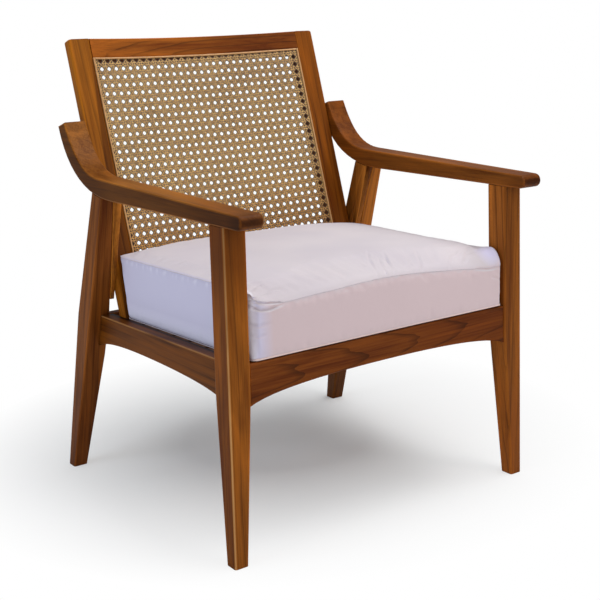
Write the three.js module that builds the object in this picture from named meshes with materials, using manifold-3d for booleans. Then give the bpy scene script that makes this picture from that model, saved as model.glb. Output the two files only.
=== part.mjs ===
// A lounge armchair in teak: four tapered legs, arms that sweep up into horns beside a leaning back frame with
// a bowed cane panel, arched seat rails, a slatted deck and a loose box cushion.
// Millimetres. x runs across the chair, y back from the faces of the front legs, z up from the floor.
import * as THREE from 'three';
import { mergeVertices } from 'three/addons/utils/BufferGeometryUtils.js';
import Module from 'manifold-3d';

const wasm = await Module();
wasm.setup();

// Clearances and the overrun of cutters
const fit = 0.3;
const overrun = 6;

// Main sizes
const backHalfWidth = 284;
const backHeight = 854;
const armUnderZ = 571;
const seatFrontZ = 345.5;
const seatSlope = THREE.MathUtils.degToRad(1.35);

// Front legs
const frontLegWidth = 42;
const frontLegDepth = 44;
const frontLegInset = 5;
const frontLegSplay = 9;
const frontLegFootWidth = 26;
const frontLegFootDepth = 28;
const frontLegTaperZ = 290;

// Rear legs
const rearLegTopY = 416;
const rearLegRake = 188;
const rearLegTopDepth = 43;
const rearLegKneeDepth = 53;
const rearLegFootDepth = 28;
const rearLegTopWidth = 25;
const rearLegKneeWidth = 43;
const rearLegFootWidth = 28.5;
const rearLegSplay = 17;
const rearLegTaperZ = 250;

// Packers between the rear legs and the back frame
const packerDrop = 170;

// Arms
const armNoseOverhang = 51;
const armNoseThickness = 24;
const armRearThickness = 37;
const armNoseInset = 7;
const armNoseWidth = 44;
const armRearWidth = 43;
const hornHeight = 132;
const hornTipDepth = 28;
const hornLead = 7;
const armEasing = 3;
const armSweepRun = 137;
const armUnderSweepRun = 198;
const topSweepShares = [[0.44, 0], [0.73, 0.21]];
const underSweepShares = [[0.45, 0], [0.865, 0.27]];

// Edge easing of the straight members
const legEasing = 3.5;
const railEasing = 1.5;

// Rails of the seat
const sideRailThickness = 25.5;
const sideRailRise = 2;
const sideRailFrontDepth = 70;
const sideRailMidDepth = 48;
const sideRailRearDepth = 64;
const frontRailThickness = 24;
const frontRailInset = 3;
const frontRailEndDepth = 72;
const frontRailMidDepth = 48;
const rearRailThickness = 20;
const rearRailDepth = 54;
const rearRailInset = 10;
const rearRailDrop = 5;
const archShares = [[0.15, 0.8], [0.55, 1]];

// Tenons
const tenonThickness = 11;
const tenonShoulder = 8;
const frontTenonLength = 17;
const sideTenonLength = 14;
const sideTenonInset = 1.5;
const armTenonHeight = 13;
const armTenonMargin = 8;
const rearTenonMargin = 6;

// Back frame, in its own leaning frame: x across, y through its thickness, z up its slope
const backLean = THREE.MathUtils.degToRad(16.8);
const backFootY = 432.6;
const backFootZ = 292;
const backThickness = 22;
const stileWidth = 44;
const stileEasing = 4;
const stileTopEasing = 4;
const lipWidth = 12;
const lipSet = 3;
const backBow = 14;
const topRailHeight = 37;
const bottomRailHeight = 40;
const bottomRailTop = 103;
const backTenonLength = 24;
const backTenonThickness = 9;
const backTenonMargin = 7;
const bowSteps = 12;

// Cane panel and its splines
const splineWidth = 3.4;
const splineDepth = 7;
const splineProud = 0.4;
const splineEasing = 1.3;
const caneThickness = 1.4;
const caneColumns = 17;
const caneRows = 15;
const caneBorder = 15;
const caneStrandShare = 0.52;

// Deck of slats on cleats, and the glue blocks in the front corners
const slatCount = 7;
const slatWidth = 48;
const slatThickness = 14;
const deckGap = 5;
const slatEndGap = 1.5;
const cleatWidth = 20;
const cleatHeight = 24;
const blockLeg = 52;
const blockRun = 35;
const blockHeight = 26;
const blockCut = 10;

// Fasteners
const dowelRadius = 4;
const dowelReach = 18;
const hornDowelDrops = [18, 45];
const packerDowelRise = 30;
const boltRadius = 3;
const boltHeadRadius = 6.5;
const boltHeadHeight = 4;
const boltReach = 16;
const boltHeights = [15, 37];
const screwRadius = 2;
const screwHeadRadius = 4;
const screwReach = 14;
const screwsPerCleat = 3;
const roundSides = 12;

// Cushion
const cushionThickness = 112;
const cushionCrown = 15;
const crownWidthShare = 0.8;
const crownDepthShare = 0.35;
const cushionSideGap = 6.6;
const cushionFlare = 5;
const cushionFrontFall = 12;
const cushionFrontY = 2;
const cushionCorner = 8;
const cushionEdge = 11;
const cushionDrawIn = 4;
const cushionBackGap = 1.5;

// Straight line through (a0, v0) and (a1, v1), read at a
const along = (a, a0, v0, a1, v1) => v0 + ((v1 - v0) * (a - a0)) / (a1 - a0);

// Height of the seat plane, on which the cushion lies
const seatZ = (y) => seatFrontZ - y * Math.tan(seatSlope);

// Faces of the front legs at a height; the outer face splays outward going down
const frontOuterX = (z) => {
  const topX = backHalfWidth - frontLegInset + frontLegWidth;
  return along(z, 0, topX + frontLegSplay, armUnderZ, topX);
};
const frontWidthAt = (z) =>
  z > frontLegTaperZ ? frontLegWidth : along(z, 0, frontLegFootWidth, frontLegTaperZ, frontLegWidth);
const frontDepthAt = (z) =>
  z > frontLegTaperZ ? frontLegDepth : along(z, 0, frontLegFootDepth, frontLegTaperZ, frontLegDepth);
const frontInnerX = (z) => frontOuterX(z) - frontWidthAt(z);

// Faces of the rear legs at a height; the knee is where the side rail meets them
const rearFrontY = (z) => along(z, 0, rearLegTopY + rearLegRake, armUnderZ, rearLegTopY);
const rearKneeZ = seatZ(rearLegTopY + rearLegRake / 2) + sideRailRise;
const kneeValue = (z, foot, knee, top) =>
  z < rearKneeZ ? along(z, 0, foot, rearKneeZ, knee) : along(z, rearKneeZ, knee, armUnderZ, top);
const rearDepthAt = (z) => kneeValue(z, rearLegFootDepth, rearLegKneeDepth, rearLegTopDepth);
const rearWidthAt = (z) =>
  z < rearLegTaperZ
    ? along(z, 0, rearLegFootWidth, rearLegTaperZ, rearLegKneeWidth)
    : Math.min(rearLegKneeWidth, along(z, rearKneeZ, rearLegKneeWidth, armUnderZ, rearLegTopWidth));
const rearBackY = (z) => rearFrontY(z) + rearDepthAt(z);
const rearOuterX = (z) => {
  const topX = backHalfWidth + armRearWidth;
  return along(z, 0, topX + rearLegSplay, armUnderZ, topX);
};
const rearInnerX = (z) => rearOuterX(z) - rearWidthAt(z);

// Front face of the back frame at a height, and a point of the leaning frame in the chair's frame
const backFrontY = (z) => backFootY + (z - backFootZ) * Math.tan(backLean);
const backPoint = (x, through, up) =>
  new THREE.Vector3(
    x,
    backFootY + through * Math.cos(backLean) + up * Math.sin(backLean),
    backFootZ - through * Math.sin(backLean) + up * Math.cos(backLean),
  );
const upSlope = (z) => (z - backFootZ) / Math.cos(backLean);

// Solids from three.js geometries, for cutting and joining
const toSolid = (geometry) => {
  const bare = geometry.clone();
  bare.deleteAttribute('normal');
  bare.deleteAttribute('uv');
  const merged = mergeVertices(bare);
  return new wasm.Manifold(
    new wasm.Mesh({
      numProp: 3,
      vertProperties: new Float32Array(merged.attributes.position.array),
      triVerts: new Uint32Array(merged.index.array),
    }),
  );
};

const toGeometry = (solid) => {
  const mesh = solid.getMesh();
  const geometry = new THREE.BufferGeometry();
  geometry.setAttribute('position', new THREE.BufferAttribute(new Float32Array(mesh.vertProperties), mesh.numProp));
  geometry.setIndex(new THREE.BufferAttribute(new Uint32Array(mesh.triVerts), 1));
  geometry.computeVertexNormals();
  return geometry;
};

const joined = (...geometries) =>
  toGeometry(geometries.map(toSolid).reduce((whole, piece) => whole.add(piece)));

const cut = (geometry, cutters) =>
  toGeometry(cutters.map(toSolid).reduce((whole, cutter) => whole.subtract(cutter), toSolid(geometry)));

// A block between two corners
const block = (x0, x1, y0, y1, z0, z1) => {
  const geometry = new THREE.BoxGeometry(x1 - x0, y1 - y0, z1 - z0);
  geometry.translate((x0 + x1) / 2, (y0 + y1) / 2, (z0 + z1) / 2);
  return geometry;
};

// A closed skin over a row of rings; the outline, in 2D, says how the end rings are filled
const loft = (rings, outline) => {
  const count = outline.length;
  const turn = THREE.ShapeUtils.isClockWise(outline) ? -1 : 1;
  const caps = THREE.ShapeUtils.triangulateShape(outline, []).map((face) => (turn < 0 ? face.reverse() : face));
  const triangles = [];
  for (let r = 0; r < rings.length - 1; r += 1) {
    for (let i = 0; i < count; i += 1) {
      const a = r * count + i;
      const b = r * count + ((i + 1) % count);
      triangles.push(a, b, b + count, a, b + count, a + count);
    }
  }
  const last = (rings.length - 1) * count;
  caps.forEach(([a, b, c]) => {
    triangles.push(a, c, b);
    triangles.push(last + a, last + b, last + c);
  });
  const points = rings.flat();
  let volume = 0;
  for (let t = 0; t < triangles.length; t += 3) {
    const [p, q, r] = [points[triangles[t]], points[triangles[t + 1]], points[triangles[t + 2]]];
    volume += p.dot(new THREE.Vector3().crossVectors(q, r));
  }
  if (volume < 0) triangles.reverse();
  const geometry = new THREE.BufferGeometry().setFromPoints(points);
  geometry.setIndex(triangles);
  return geometry;
};

// Outline of a block with eased corners
const easedOutline = (x0, x1, y0, y1, easing) => {
  const low = Math.min(x0, x1);
  const high = Math.max(x0, x1);
  const corners = [
    [high - easing, y1 - easing, 0],
    [low + easing, y1 - easing, 1],
    [low + easing, y0 + easing, 2],
    [high - easing, y0 + easing, 3],
  ];
  return corners.flatMap(([x, y, quarter]) =>
    [0, 1 / 2, 1].map((share) => {
      const angle = ((quarter + share) * Math.PI) / 2;
      return new THREE.Vector2(x + easing * Math.cos(angle), y + easing * Math.sin(angle));
    }),
  );
};

// A post whose eased section changes with height; span(z) gives its faces
const post = (heights, span, easing) => {
  const outlines = heights.map((z) => easedOutline(...span(z), easing));
  const rings = outlines.map((outline, i) => outline.map((p) => new THREE.Vector3(p.x, p.y, heights[i])));
  return loft(rings, outlines[0]);
};

// Extrusions: a side profile (y, z) across x, and a front profile (x, z) back along y
const sidePanel = (points, x0, x1, easing = 0) => {
  const shape = points instanceof THREE.Shape ? points : new THREE.Shape(points.map(([y, z]) => new THREE.Vector2(y, z)));
  const geometry = new THREE.ExtrudeGeometry(shape, {
    depth: x1 - x0 - 2 * easing,
    bevelEnabled: easing > 0,
    bevelThickness: easing,
    bevelSize: easing,
    bevelOffset: -easing,
    bevelSegments: 2,
    curveSegments: bowSteps,
  });
  geometry.applyMatrix4(
    new THREE.Matrix4().makeBasis(
      new THREE.Vector3(0, 1, 0),
      new THREE.Vector3(0, 0, 1),
      new THREE.Vector3(1, 0, 0),
    ),
  );
  geometry.translate(x0 + easing, 0, 0);
  return geometry;
};

const frontPanel = (points, y0, y1, easing = 0) => {
  const shape = points instanceof THREE.Shape ? points : new THREE.Shape(points.map(([x, z]) => new THREE.Vector2(x, z)));
  const geometry = new THREE.ExtrudeGeometry(shape, {
    depth: y1 - y0 - 2 * easing,
    bevelEnabled: easing > 0,
    bevelThickness: easing,
    bevelSize: easing,
    bevelOffset: -easing,
    bevelSegments: 1,
    curveSegments: bowSteps,
  });
  geometry.applyMatrix4(
    new THREE.Matrix4().makeBasis(
      new THREE.Vector3(1, 0, 0),
      new THREE.Vector3(0, 0, 1),
      new THREE.Vector3(0, -1, 0),
    ),
  );
  geometry.translate(0, y1 - easing, 0);
  return geometry;
};

// The chair's left side is the mirror of its right side, which is the one modelled
const mirrored = (geometry) => {
  const copy = geometry.clone();
  copy.scale(-1, 1, 1);
  if (!copy.index) copy.setIndex([...Array(copy.attributes.position.count).keys()]);
  copy.setIndex([...copy.index.array].reverse());
  return copy;
};

// Round stock along x, from its left end, with a radius at each step along it
const turned = (steps, x, y, z) => {
  const profile = [[0, 0], ...steps.map(([reach, radius]) => [radius, reach]), [0, steps.at(-1)[0]]];
  const geometry = new THREE.LatheGeometry(profile.map(([radius, reach]) => new THREE.Vector2(radius, reach)), roundSides);
  geometry.rotateZ(-Math.PI / 2);
  geometry.translate(x, y, z);
  return geometry;
};

// Materials
const finish = (color, roughness, metalness = 0) => new THREE.MeshStandardMaterial({ color, roughness, metalness });
const teak = finish(0x9a6232, 0.45);
const paleWood = finish(0xb08a5c, 0.6);
const caneReed = finish(0xb39a68, 0.6);
const splineReed = finish(0xc99b6b, 0.5);
const cotton = finish(0xd9d0d8, 0.9);
const steel = finish(0x9c9c9c, 0.35, 1);

const chair = new THREE.Group();
const backFrame = new THREE.Group();
chair.add(backFrame);

const place = (name, geometry, material, group = chair) => {
  const mesh = new THREE.Mesh(geometry, material);
  mesh.name = name;
  group.add(mesh);
  return mesh;
};

const placePair = (name, geometry, material, group = chair) => {
  place(`${name}_right`, geometry, material, group);
  place(`${name}_left`, mirrored(geometry), material, group);
};

// Arm: side profile with a bull nose in front and a horn that sweeps up beside the back stile
const hornTipZ = armUnderZ + hornHeight;
const hornFrontY = backFrontY(hornTipZ) - hornLead;
const hornBackY = hornFrontY + hornTipDepth;
const armTopFrontZ = armUnderZ + armNoseThickness;
const armTopBendZ = armUnderZ + armRearThickness;
const armTopBendY = hornFrontY - armSweepRun;
const armUnderBendY = hornBackY - armUnderSweepRun;
const hornBackZ = hornTipZ - hornTipDepth * Math.tan(backLean);

const sweep = (path, fromY, fromZ, toY, toZ, shares) => {
  const [[y1, z1], [y2, z2]] = shares;
  const at = (share, from, to) => from + share * (to - from);
  path.bezierCurveTo(
    at(y1, fromY, toY), at(z1, fromZ, toZ), at(y2, fromY, toY), at(z2, fromZ, toZ), toY, toZ,
  );
};

const armShape = new THREE.Shape();
const noseRadius = armNoseThickness / 2;
armShape.moveTo(hornFrontY, hornTipZ);
const sweepBack = [...topSweepShares].reverse().map(([y, z]) => [1 - y, 1 - z]);
sweep(armShape, hornFrontY, hornTipZ, armTopBendY, armTopBendZ, sweepBack);
armShape.lineTo(noseRadius - armNoseOverhang, armTopFrontZ);
armShape.absarc(noseRadius - armNoseOverhang, armUnderZ + noseRadius, noseRadius, Math.PI / 2, (3 * Math.PI) / 2, false);
armShape.lineTo(armUnderBendY, armUnderZ);
sweep(armShape, armUnderBendY, armUnderZ, hornBackY, hornBackZ, underSweepShares);
armShape.closePath();

// The arm widens from the nose to the horn, and its inner face runs parallel to the stile beside it
const armInnerX = (y) =>
  y > armTopBendY
    ? backHalfWidth + fit
    : along(y, -armNoseOverhang, backHalfWidth - armNoseInset, armTopBendY, backHalfWidth + fit);
const armOuterX = (y) => {
  const noseX = backHalfWidth - armNoseInset + armNoseWidth;
  return along(y, -armNoseOverhang, noseX, armTopBendY, backHalfWidth + fit + armRearWidth);
};

const armBlank = sidePanel(armShape, 0, armNoseWidth, armEasing);
const armPoints = armBlank.attributes.position;
for (let i = 0; i < armPoints.count; i += 1) {
  const y = armPoints.getY(i);
  const share = armPoints.getX(i) / armNoseWidth;
  armPoints.setX(i, armInnerX(y) + share * (armOuterX(y) - armInnerX(y)));
}

// Everything under the arm is cut to its underside, a clearance below it
const armSeatCutter = () => {
  const geometry = sidePanel(armShape, backHalfWidth - overrun * 2, frontOuterX(0) + overrun * 4);
  geometry.translate(0, 0, -fit);
  return geometry;
};

// Tenons of the legs in the arm
const frontArmTenon = (gap) => {
  const z = armUnderZ;
  return block(
    frontInnerX(z) + armTenonMargin - gap,
    frontOuterX(z) - armTenonMargin + gap,
    armTenonMargin - gap,
    frontLegDepth - armTenonMargin + gap,
    z - overrun,
    z + armTenonHeight + gap,
  );
};
const rearArmTenon = (gap) => {
  const z = armUnderZ;
  return block(
    rearInnerX(z) + rearTenonMargin - gap,
    rearOuterX(z) - rearTenonMargin + gap,
    rearFrontY(z) + armTenonMargin - gap,
    rearBackY(z) - armTenonMargin + gap,
    z - overrun,
    z + armTenonHeight + gap,
  );
};

// Side rail: sloped top, arched lower edge, ends cut to the faces of the legs
const sideRailInnerX = backHalfWidth + fit;
const sideRailOuterX = sideRailInnerX + sideRailThickness;
const sideTopZ = (y) => seatZ(y) + sideRailRise;
const sideRailFrontY = frontLegDepth + fit;
const sideRearBottomZ = rearKneeZ - sideRailRearDepth;
const sideFrontBottomZ = sideTopZ(sideRailFrontY) - sideRailFrontDepth;
const sideMidY = (sideRailFrontY + rearFrontY(sideRearBottomZ)) / 2;
const sideMidZ = sideTopZ(sideMidY) - sideRailMidDepth;

// Half an arch, from its low end to its crown, and the same from the crown down
const archUp = (path, fromA, fromZ, toA, toZ) => sweep(path, fromA, fromZ, toA, toZ, archShares);
const archDown = (path, fromA, fromZ, toA, toZ) =>
  sweep(path, fromA, fromZ, toA, toZ, [...archShares].reverse().map(([a, z]) => [1 - a, 1 - z]));

const sideRailShape = new THREE.Shape();
const sideRearEndY = (z) => rearFrontY(z) - fit;
const sideRearTopZ = sideTopZ(sideRearEndY(rearKneeZ));
sideRailShape.moveTo(sideRailFrontY, sideFrontBottomZ);
archUp(sideRailShape, sideRailFrontY, sideFrontBottomZ, sideMidY, sideMidZ);
archDown(sideRailShape, sideMidY, sideMidZ, sideRearEndY(sideRearBottomZ), sideRearBottomZ);
sideRailShape.lineTo(sideRearEndY(sideRearTopZ), sideRearTopZ);
sideRailShape.lineTo(sideRailFrontY, sideTopZ(sideRailFrontY));
sideRailShape.closePath();

// Tongues of the side rail in the legs: the front one square, the rear one raked with its leg
const sideTenonX0 = sideRailOuterX - sideTenonInset - tenonThickness;
const sideTenonX1 = sideRailOuterX - sideTenonInset;
const sideFrontTenon = (gap) =>
  block(
    sideTenonX0 - gap,
    sideTenonX1 + gap,
    frontLegDepth - frontTenonLength - gap,
    frontLegDepth + overrun,
    sideFrontBottomZ + tenonShoulder - gap,
    sideTopZ(sideRailFrontY) - tenonShoulder + gap,
  );
const sideRearTenon = (gap) => {
  const low = sideRearBottomZ + tenonShoulder - gap;
  const high = sideRearTopZ - tenonShoulder + gap;
  return sidePanel(
    [
      [rearFrontY(low) - overrun, low],
      [rearFrontY(low) + sideTenonLength + gap, low],
      [rearFrontY(high) + sideTenonLength + gap, high],
      [rearFrontY(high) - overrun, high],
    ],
    sideTenonX0 - gap,
    sideTenonX1 + gap,
  );
};

// Front rail between the front legs
const frontRailBackY = frontRailInset + frontRailThickness;
const frontRailTopZ = seatZ(frontRailBackY) - fit;
const frontRailBottomZ = frontRailTopZ - frontRailEndDepth;
const frontRailMidZ = frontRailTopZ - frontRailMidDepth;
const frontRailEndX = (z) => frontInnerX(z) - fit;
const frontRailShape = new THREE.Shape();
frontRailShape.moveTo(-frontRailEndX(frontRailBottomZ), frontRailBottomZ);
archUp(frontRailShape, -frontRailEndX(frontRailBottomZ), frontRailBottomZ, 0, frontRailMidZ);
archDown(frontRailShape, 0, frontRailMidZ, frontRailEndX(frontRailBottomZ), frontRailBottomZ);
frontRailShape.lineTo(frontRailEndX(frontLegTaperZ), frontLegTaperZ);
frontRailShape.lineTo(frontRailEndX(frontRailTopZ), frontRailTopZ);
frontRailShape.lineTo(-frontRailEndX(frontRailTopZ), frontRailTopZ);
frontRailShape.lineTo(-frontRailEndX(frontLegTaperZ), frontLegTaperZ);
frontRailShape.closePath();

const frontRailTenon = (gap) => {
  const middle = frontRailInset + frontRailThickness / 2;
  const shoulderX = frontInnerX(frontRailTopZ);
  return block(
    shoulderX - overrun,
    shoulderX + frontTenonLength + gap,
    middle - tenonThickness / 2 - gap,
    middle + tenonThickness / 2 + gap,
    frontRailBottomZ + 2 * tenonShoulder - gap,
    frontRailTopZ - tenonShoulder + gap,
  );
};

// Rear rail between the rear legs, behind the tongues of the side rails
const rearRailTopZ = seatZ(rearFrontY(rearKneeZ)) - rearRailDrop;
const rearRailBottomZ = rearRailTopZ - rearRailDepth;
const rearRailY0 = rearFrontY(rearRailBottomZ) + rearRailInset;
const rearRailY1 = rearRailY0 + rearRailThickness;
const rearRailEndX = (z) => rearInnerX(z) - fit;
const rearRailTenon = (gap) => {
  const middle = (rearRailY0 + rearRailY1) / 2;
  const shoulderX = rearInnerX(rearRailTopZ);
  return block(
    shoulderX - overrun,
    shoulderX + frontTenonLength + gap,
    middle - tenonThickness / 2 - gap,
    middle + tenonThickness / 2 + gap,
    rearRailBottomZ + tenonShoulder - gap,
    rearRailTopZ - tenonShoulder + gap,
  );
};

// Legs
const frontLegHeights = [0, frontLegTaperZ, armUnderZ - fit];
const frontLegSpan = (z) => [frontInnerX(z), frontOuterX(z), 0, frontDepthAt(z)];
const frontLeg = cut(
  joined(post(frontLegHeights, frontLegSpan, legEasing), frontArmTenon(0)),
  [sideFrontTenon(fit), frontRailTenon(fit)],
);
placePair('front_leg', frontLeg, teak);

const rearLegCrown = armUnderZ + armRearThickness / 2;
const rearLegSpan = (z) => [rearInnerX(z), rearOuterX(z), rearFrontY(z), rearBackY(z)];
const rearLegPost = cut(post([0, rearLegTaperZ, rearKneeZ, rearLegCrown], rearLegSpan, legEasing), [armSeatCutter()]);
const rearLeg = cut(joined(rearLegPost, rearArmTenon(0)), [sideRearTenon(fit), rearRailTenon(fit)]);
placePair('rear_leg', rearLeg, teak);

// Packers: they fill the arm's width beside the slimmer top of each rear leg
const packerBottomZ = armUnderZ - packerDrop;
const packerSpan = (z) => [backHalfWidth + fit, rearInnerX(z) - fit, rearFrontY(z), rearBackY(z)];
const packerPost = cut(post([packerBottomZ, rearLegCrown], packerSpan, railEasing), [armSeatCutter()]);

// Dowels between packer and stile and between horn and stile
const dowelAt = (z, gap) => {
  const centre = backPoint(0, backThickness / 2, upSlope(z));
  return turned(
    [[0, dowelRadius + gap], [2 * (dowelReach + gap), dowelRadius + gap]],
    backHalfWidth - dowelReach - gap,
    centre.y,
    centre.z,
  );
};
const packerDowelZ = packerBottomZ + packerDowelRise;
const packerDowelReach = rearInnerX(packerDowelZ) - backHalfWidth - 2 * fit;
const packerDowel = (gap) => {
  const centre = backPoint(0, backThickness / 2, upSlope(packerDowelZ));
  const reach = dowelReach + Math.min(dowelReach, packerDowelReach - fit) + 2 * gap;
  return turned(
    [[0, dowelRadius + gap], [reach, dowelRadius + gap]],
    backHalfWidth - dowelReach - gap,
    centre.y,
    centre.z,
  );
};
placePair('rear_packer', cut(packerPost, [packerDowel(fit)]), teak);
placePair('packer_dowel', packerDowel(0), paleWood);

const hornDowelHeights = hornDowelDrops.map((drop) => hornTipZ - drop);
hornDowelHeights.forEach((z, i) => placePair(`horn_dowel_${i + 1}`, dowelAt(z, 0), paleWood));

const arm = cut(armBlank, [
  frontArmTenon(fit),
  rearArmTenon(fit),
  ...hornDowelHeights.map((z) => dowelAt(z, fit)),
]);
placePair('arm', arm, teak);

// Bolts through the feet of the stiles into the side rails
const boltAt = (height, gap) => {
  const centre = backPoint(0, backThickness / 2, height);
  const headEnd = boltHeadHeight - gap;
  return turned(
    [
      [0, boltHeadRadius + gap],
      [headEnd, boltHeadRadius + gap],
      [headEnd, boltRadius + gap],
      [boltHeadHeight + stileWidth + boltReach + gap, boltRadius + gap],
    ],
    backHalfWidth - stileWidth - boltHeadHeight,
    centre.y,
    centre.z,
  );
};
boltHeights.forEach((height, i) => placePair(`stile_bolt_${i + 1}`, boltAt(height, 0), steel));

// Cleats that carry the deck, and their screws
const deckFrontY = frontRailBackY + deckGap;
const blockY0 = frontRailBackY + fit;
const blockY1 = frontLegDepth + blockRun;
const cleatFrontY = blockY1 + deckGap;
const deckBottomZ = (y) => seatZ(y) - slatThickness - 2 * fit;
const deckBackY = backFrontY(deckBottomZ(backFootY) - cleatHeight) - deckGap;
const cleatX0 = backHalfWidth - cleatWidth;
const cleat = sidePanel(
  [
    [cleatFrontY, deckBottomZ(cleatFrontY) - cleatHeight],
    [deckBackY, deckBottomZ(deckBackY) - cleatHeight],
    [deckBackY, deckBottomZ(deckBackY)],
    [cleatFrontY, deckBottomZ(cleatFrontY)],
  ],
  cleatX0,
  backHalfWidth,
);
const screwYs = [...Array(screwsPerCleat).keys()].map(
  (i) => cleatFrontY + ((i + 0.5) * (deckBackY - cleatFrontY)) / screwsPerCleat,
);
const screwAt = (y, gap) => {
  const headDepth = screwHeadRadius - screwRadius;
  return turned(
    [
      [0, screwHeadRadius + gap],
      [headDepth, screwRadius + gap],
      [cleatWidth + fit + screwReach + gap, screwRadius + gap],
    ],
    cleatX0,
    y,
    deckBottomZ(y) - cleatHeight / 2,
  );
};
placePair('seat_cleat', cut(cleat, screwYs.map((y) => screwAt(y, fit))), paleWood);
screwYs.forEach((y, i) => placePair(`cleat_screw_${i + 1}`, screwAt(y, 0), steel));

// Side, front and rear rails
const sideRail = cut(
  joined(sidePanel(sideRailShape, sideRailInnerX, sideRailOuterX, railEasing), sideFrontTenon(0), sideRearTenon(0)),
  [...boltHeights.map((height) => boltAt(height, fit)), ...screwYs.map((y) => screwAt(y, fit))],
);
placePair('side_rail', sideRail, teak);

place(
  'front_rail',
  joined(
    frontPanel(frontRailShape, frontRailInset, frontRailBackY, railEasing),
    frontRailTenon(0),
    mirrored(frontRailTenon(0)),
  ),
  teak,
);

const rearRailOutline = [
  [-rearRailEndX(rearRailBottomZ), rearRailBottomZ],
  [rearRailEndX(rearRailBottomZ), rearRailBottomZ],
  [rearRailEndX(rearRailTopZ), rearRailTopZ],
  [-rearRailEndX(rearRailTopZ), rearRailTopZ],
];
place(
  'rear_rail',
  joined(
    frontPanel(rearRailOutline, rearRailY0, rearRailY1, railEasing),
    rearRailTenon(0),
    mirrored(rearRailTenon(0)),
  ),
  teak,
);

// Glue blocks in the front corners, under the first slat
const blockTopZ = deckBottomZ(blockY1);
const blockX = frontInnerX(blockTopZ) - fit;
const blockPlan = [
  new THREE.Vector2(blockX, blockY0),
  new THREE.Vector2(blockX, blockY1),
  new THREE.Vector2(blockX - blockCut, blockY1),
  new THREE.Vector2(blockX - blockLeg, blockY0 + blockCut),
  new THREE.Vector2(blockX - blockLeg, blockY0),
];
const blockRings = [blockTopZ - blockHeight, blockTopZ].map((z) => blockPlan.map((p) => new THREE.Vector3(p.x, p.y, z)));
placePair('corner_block', loft(blockRings, blockPlan), paleWood);

// Slats of the deck
const slatPitch = (deckBackY - deckFrontY - slatWidth) / (slatCount - 1);
for (let i = 0; i < slatCount; i += 1) {
  const y = deckFrontY + slatWidth / 2 + i * slatPitch;
  const slat = place(
    `deck_slat_${i + 1}`,
    new THREE.BoxGeometry(2 * (backHalfWidth - slatEndGap), slatWidth, slatThickness),
    paleWood,
  );
  slat.position.set(0, y, seatZ(y) - fit - slatThickness / 2);
  slat.rotation.x = -seatSlope;
}

// Back frame. The rails and the cane bow backwards between the stiles.
const stileInnerX = backHalfWidth - stileWidth;
const stileTop = upSlope(backHeight);
const topRailBottom = stileTop - topRailHeight;
const bowAt = (x) => backBow * (1 - (x / stileInnerX) ** 2);
const lipInnerX = stileInnerX - lipWidth;
const caneLow = bottomRailTop + splineWidth + 2 * fit;
const caneHigh = topRailBottom - splineWidth - 2 * fit;

// A bar that follows the bow from x0 to x1, between two heights and two depths
const bowedBar = (x0, x1, low, high, front, back, easing = 0) => {
  const outline = easedOutline(front, back, low, high, easing);
  const rings = [];
  for (let i = 0; i <= bowSteps; i += 1) {
    const x = x0 + ((x1 - x0) * i) / bowSteps;
    rings.push(outline.map((p) => new THREE.Vector3(x, p.x + bowAt(x), p.y)));
  }
  return loft(rings, outline);
};

// Splines: reeds pressed into grooves along the cane's four edges
const splineFront = -splineProud;
const sideSpline = (gap) => {
  const outline = easedOutline(
    stileInnerX - splineWidth - fit - gap,
    stileInnerX - fit + gap,
    splineFront - gap,
    splineDepth + gap,
    splineEasing,
  );
  const heights = [bottomRailTop + fit - gap, topRailBottom - fit + gap];
  return loft(heights.map((up) => outline.map((p) => new THREE.Vector3(p.x, p.y, up))), outline);
};
const splineEndX = stileInnerX - splineWidth - 3 * fit;
const levelSpline = (low, gap) =>
  bowedBar(
    -splineEndX - gap,
    splineEndX + gap,
    low - gap,
    low + splineWidth + gap,
    splineFront - gap,
    splineDepth + gap,
    splineEasing,
  );
const topSplineLow = topRailBottom - splineWidth - fit;
const bottomSplineLow = bottomRailTop + fit;
const levelGrooves = [levelSpline(topSplineLow, fit), levelSpline(bottomSplineLow, fit)];

const backTenon = (low, high, gap) =>
  block(
    stileInnerX - overrun,
    stileInnerX + backTenonLength + gap,
    backThickness / 2 - backTenonThickness / 2 - gap,
    backThickness / 2 + backTenonThickness / 2 + gap,
    low + backTenonMargin - gap,
    high - backTenonMargin + gap,
  );
const bottomRailLow = bottomRailTop - bottomRailHeight;

const stilePlan = (inset) => easedOutline(stileInnerX, backHalfWidth - inset, 0, backThickness, stileEasing);
const stileRing = (up, inset) => stilePlan(inset).map((p) => new THREE.Vector3(p.x, p.y, up));
const stileRings = [stileRing(0, 0)];
[0, 1 / 3, 2 / 3, 1].forEach((step) => {
  const angle = (step * Math.PI) / 2;
  const drop = stileTopEasing * (1 - Math.sin(angle));
  stileRings.push(stileRing(stileTop - drop, stileTopEasing * (1 - Math.cos(angle))));
});
const lipPlan = [
  new THREE.Vector2(stileInnerX + overrun, lipSet),
  new THREE.Vector2(stileInnerX, lipSet),
  new THREE.Vector2(lipInnerX, lipSet + bowAt(lipInnerX)),
  new THREE.Vector2(lipInnerX, backThickness - railEasing),
  new THREE.Vector2(stileInnerX + overrun, backThickness - railEasing),
];
const lipRings = [bottomRailTop + fit, topRailBottom - fit].map((up) =>
  lipPlan.map((p) => new THREE.Vector3(p.x, p.y, up)),
);

// Holes for dowels and bolts, turned from the chair's frame into the leaning frame
const intoBack = (geometry) => {
  const inverse = new THREE.Matrix4()
    .makeTranslation(0, backFootY, backFootZ)
    .multiply(new THREE.Matrix4().makeRotationX(-backLean))
    .invert();
  geometry.applyMatrix4(inverse);
  return geometry;
};

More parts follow.
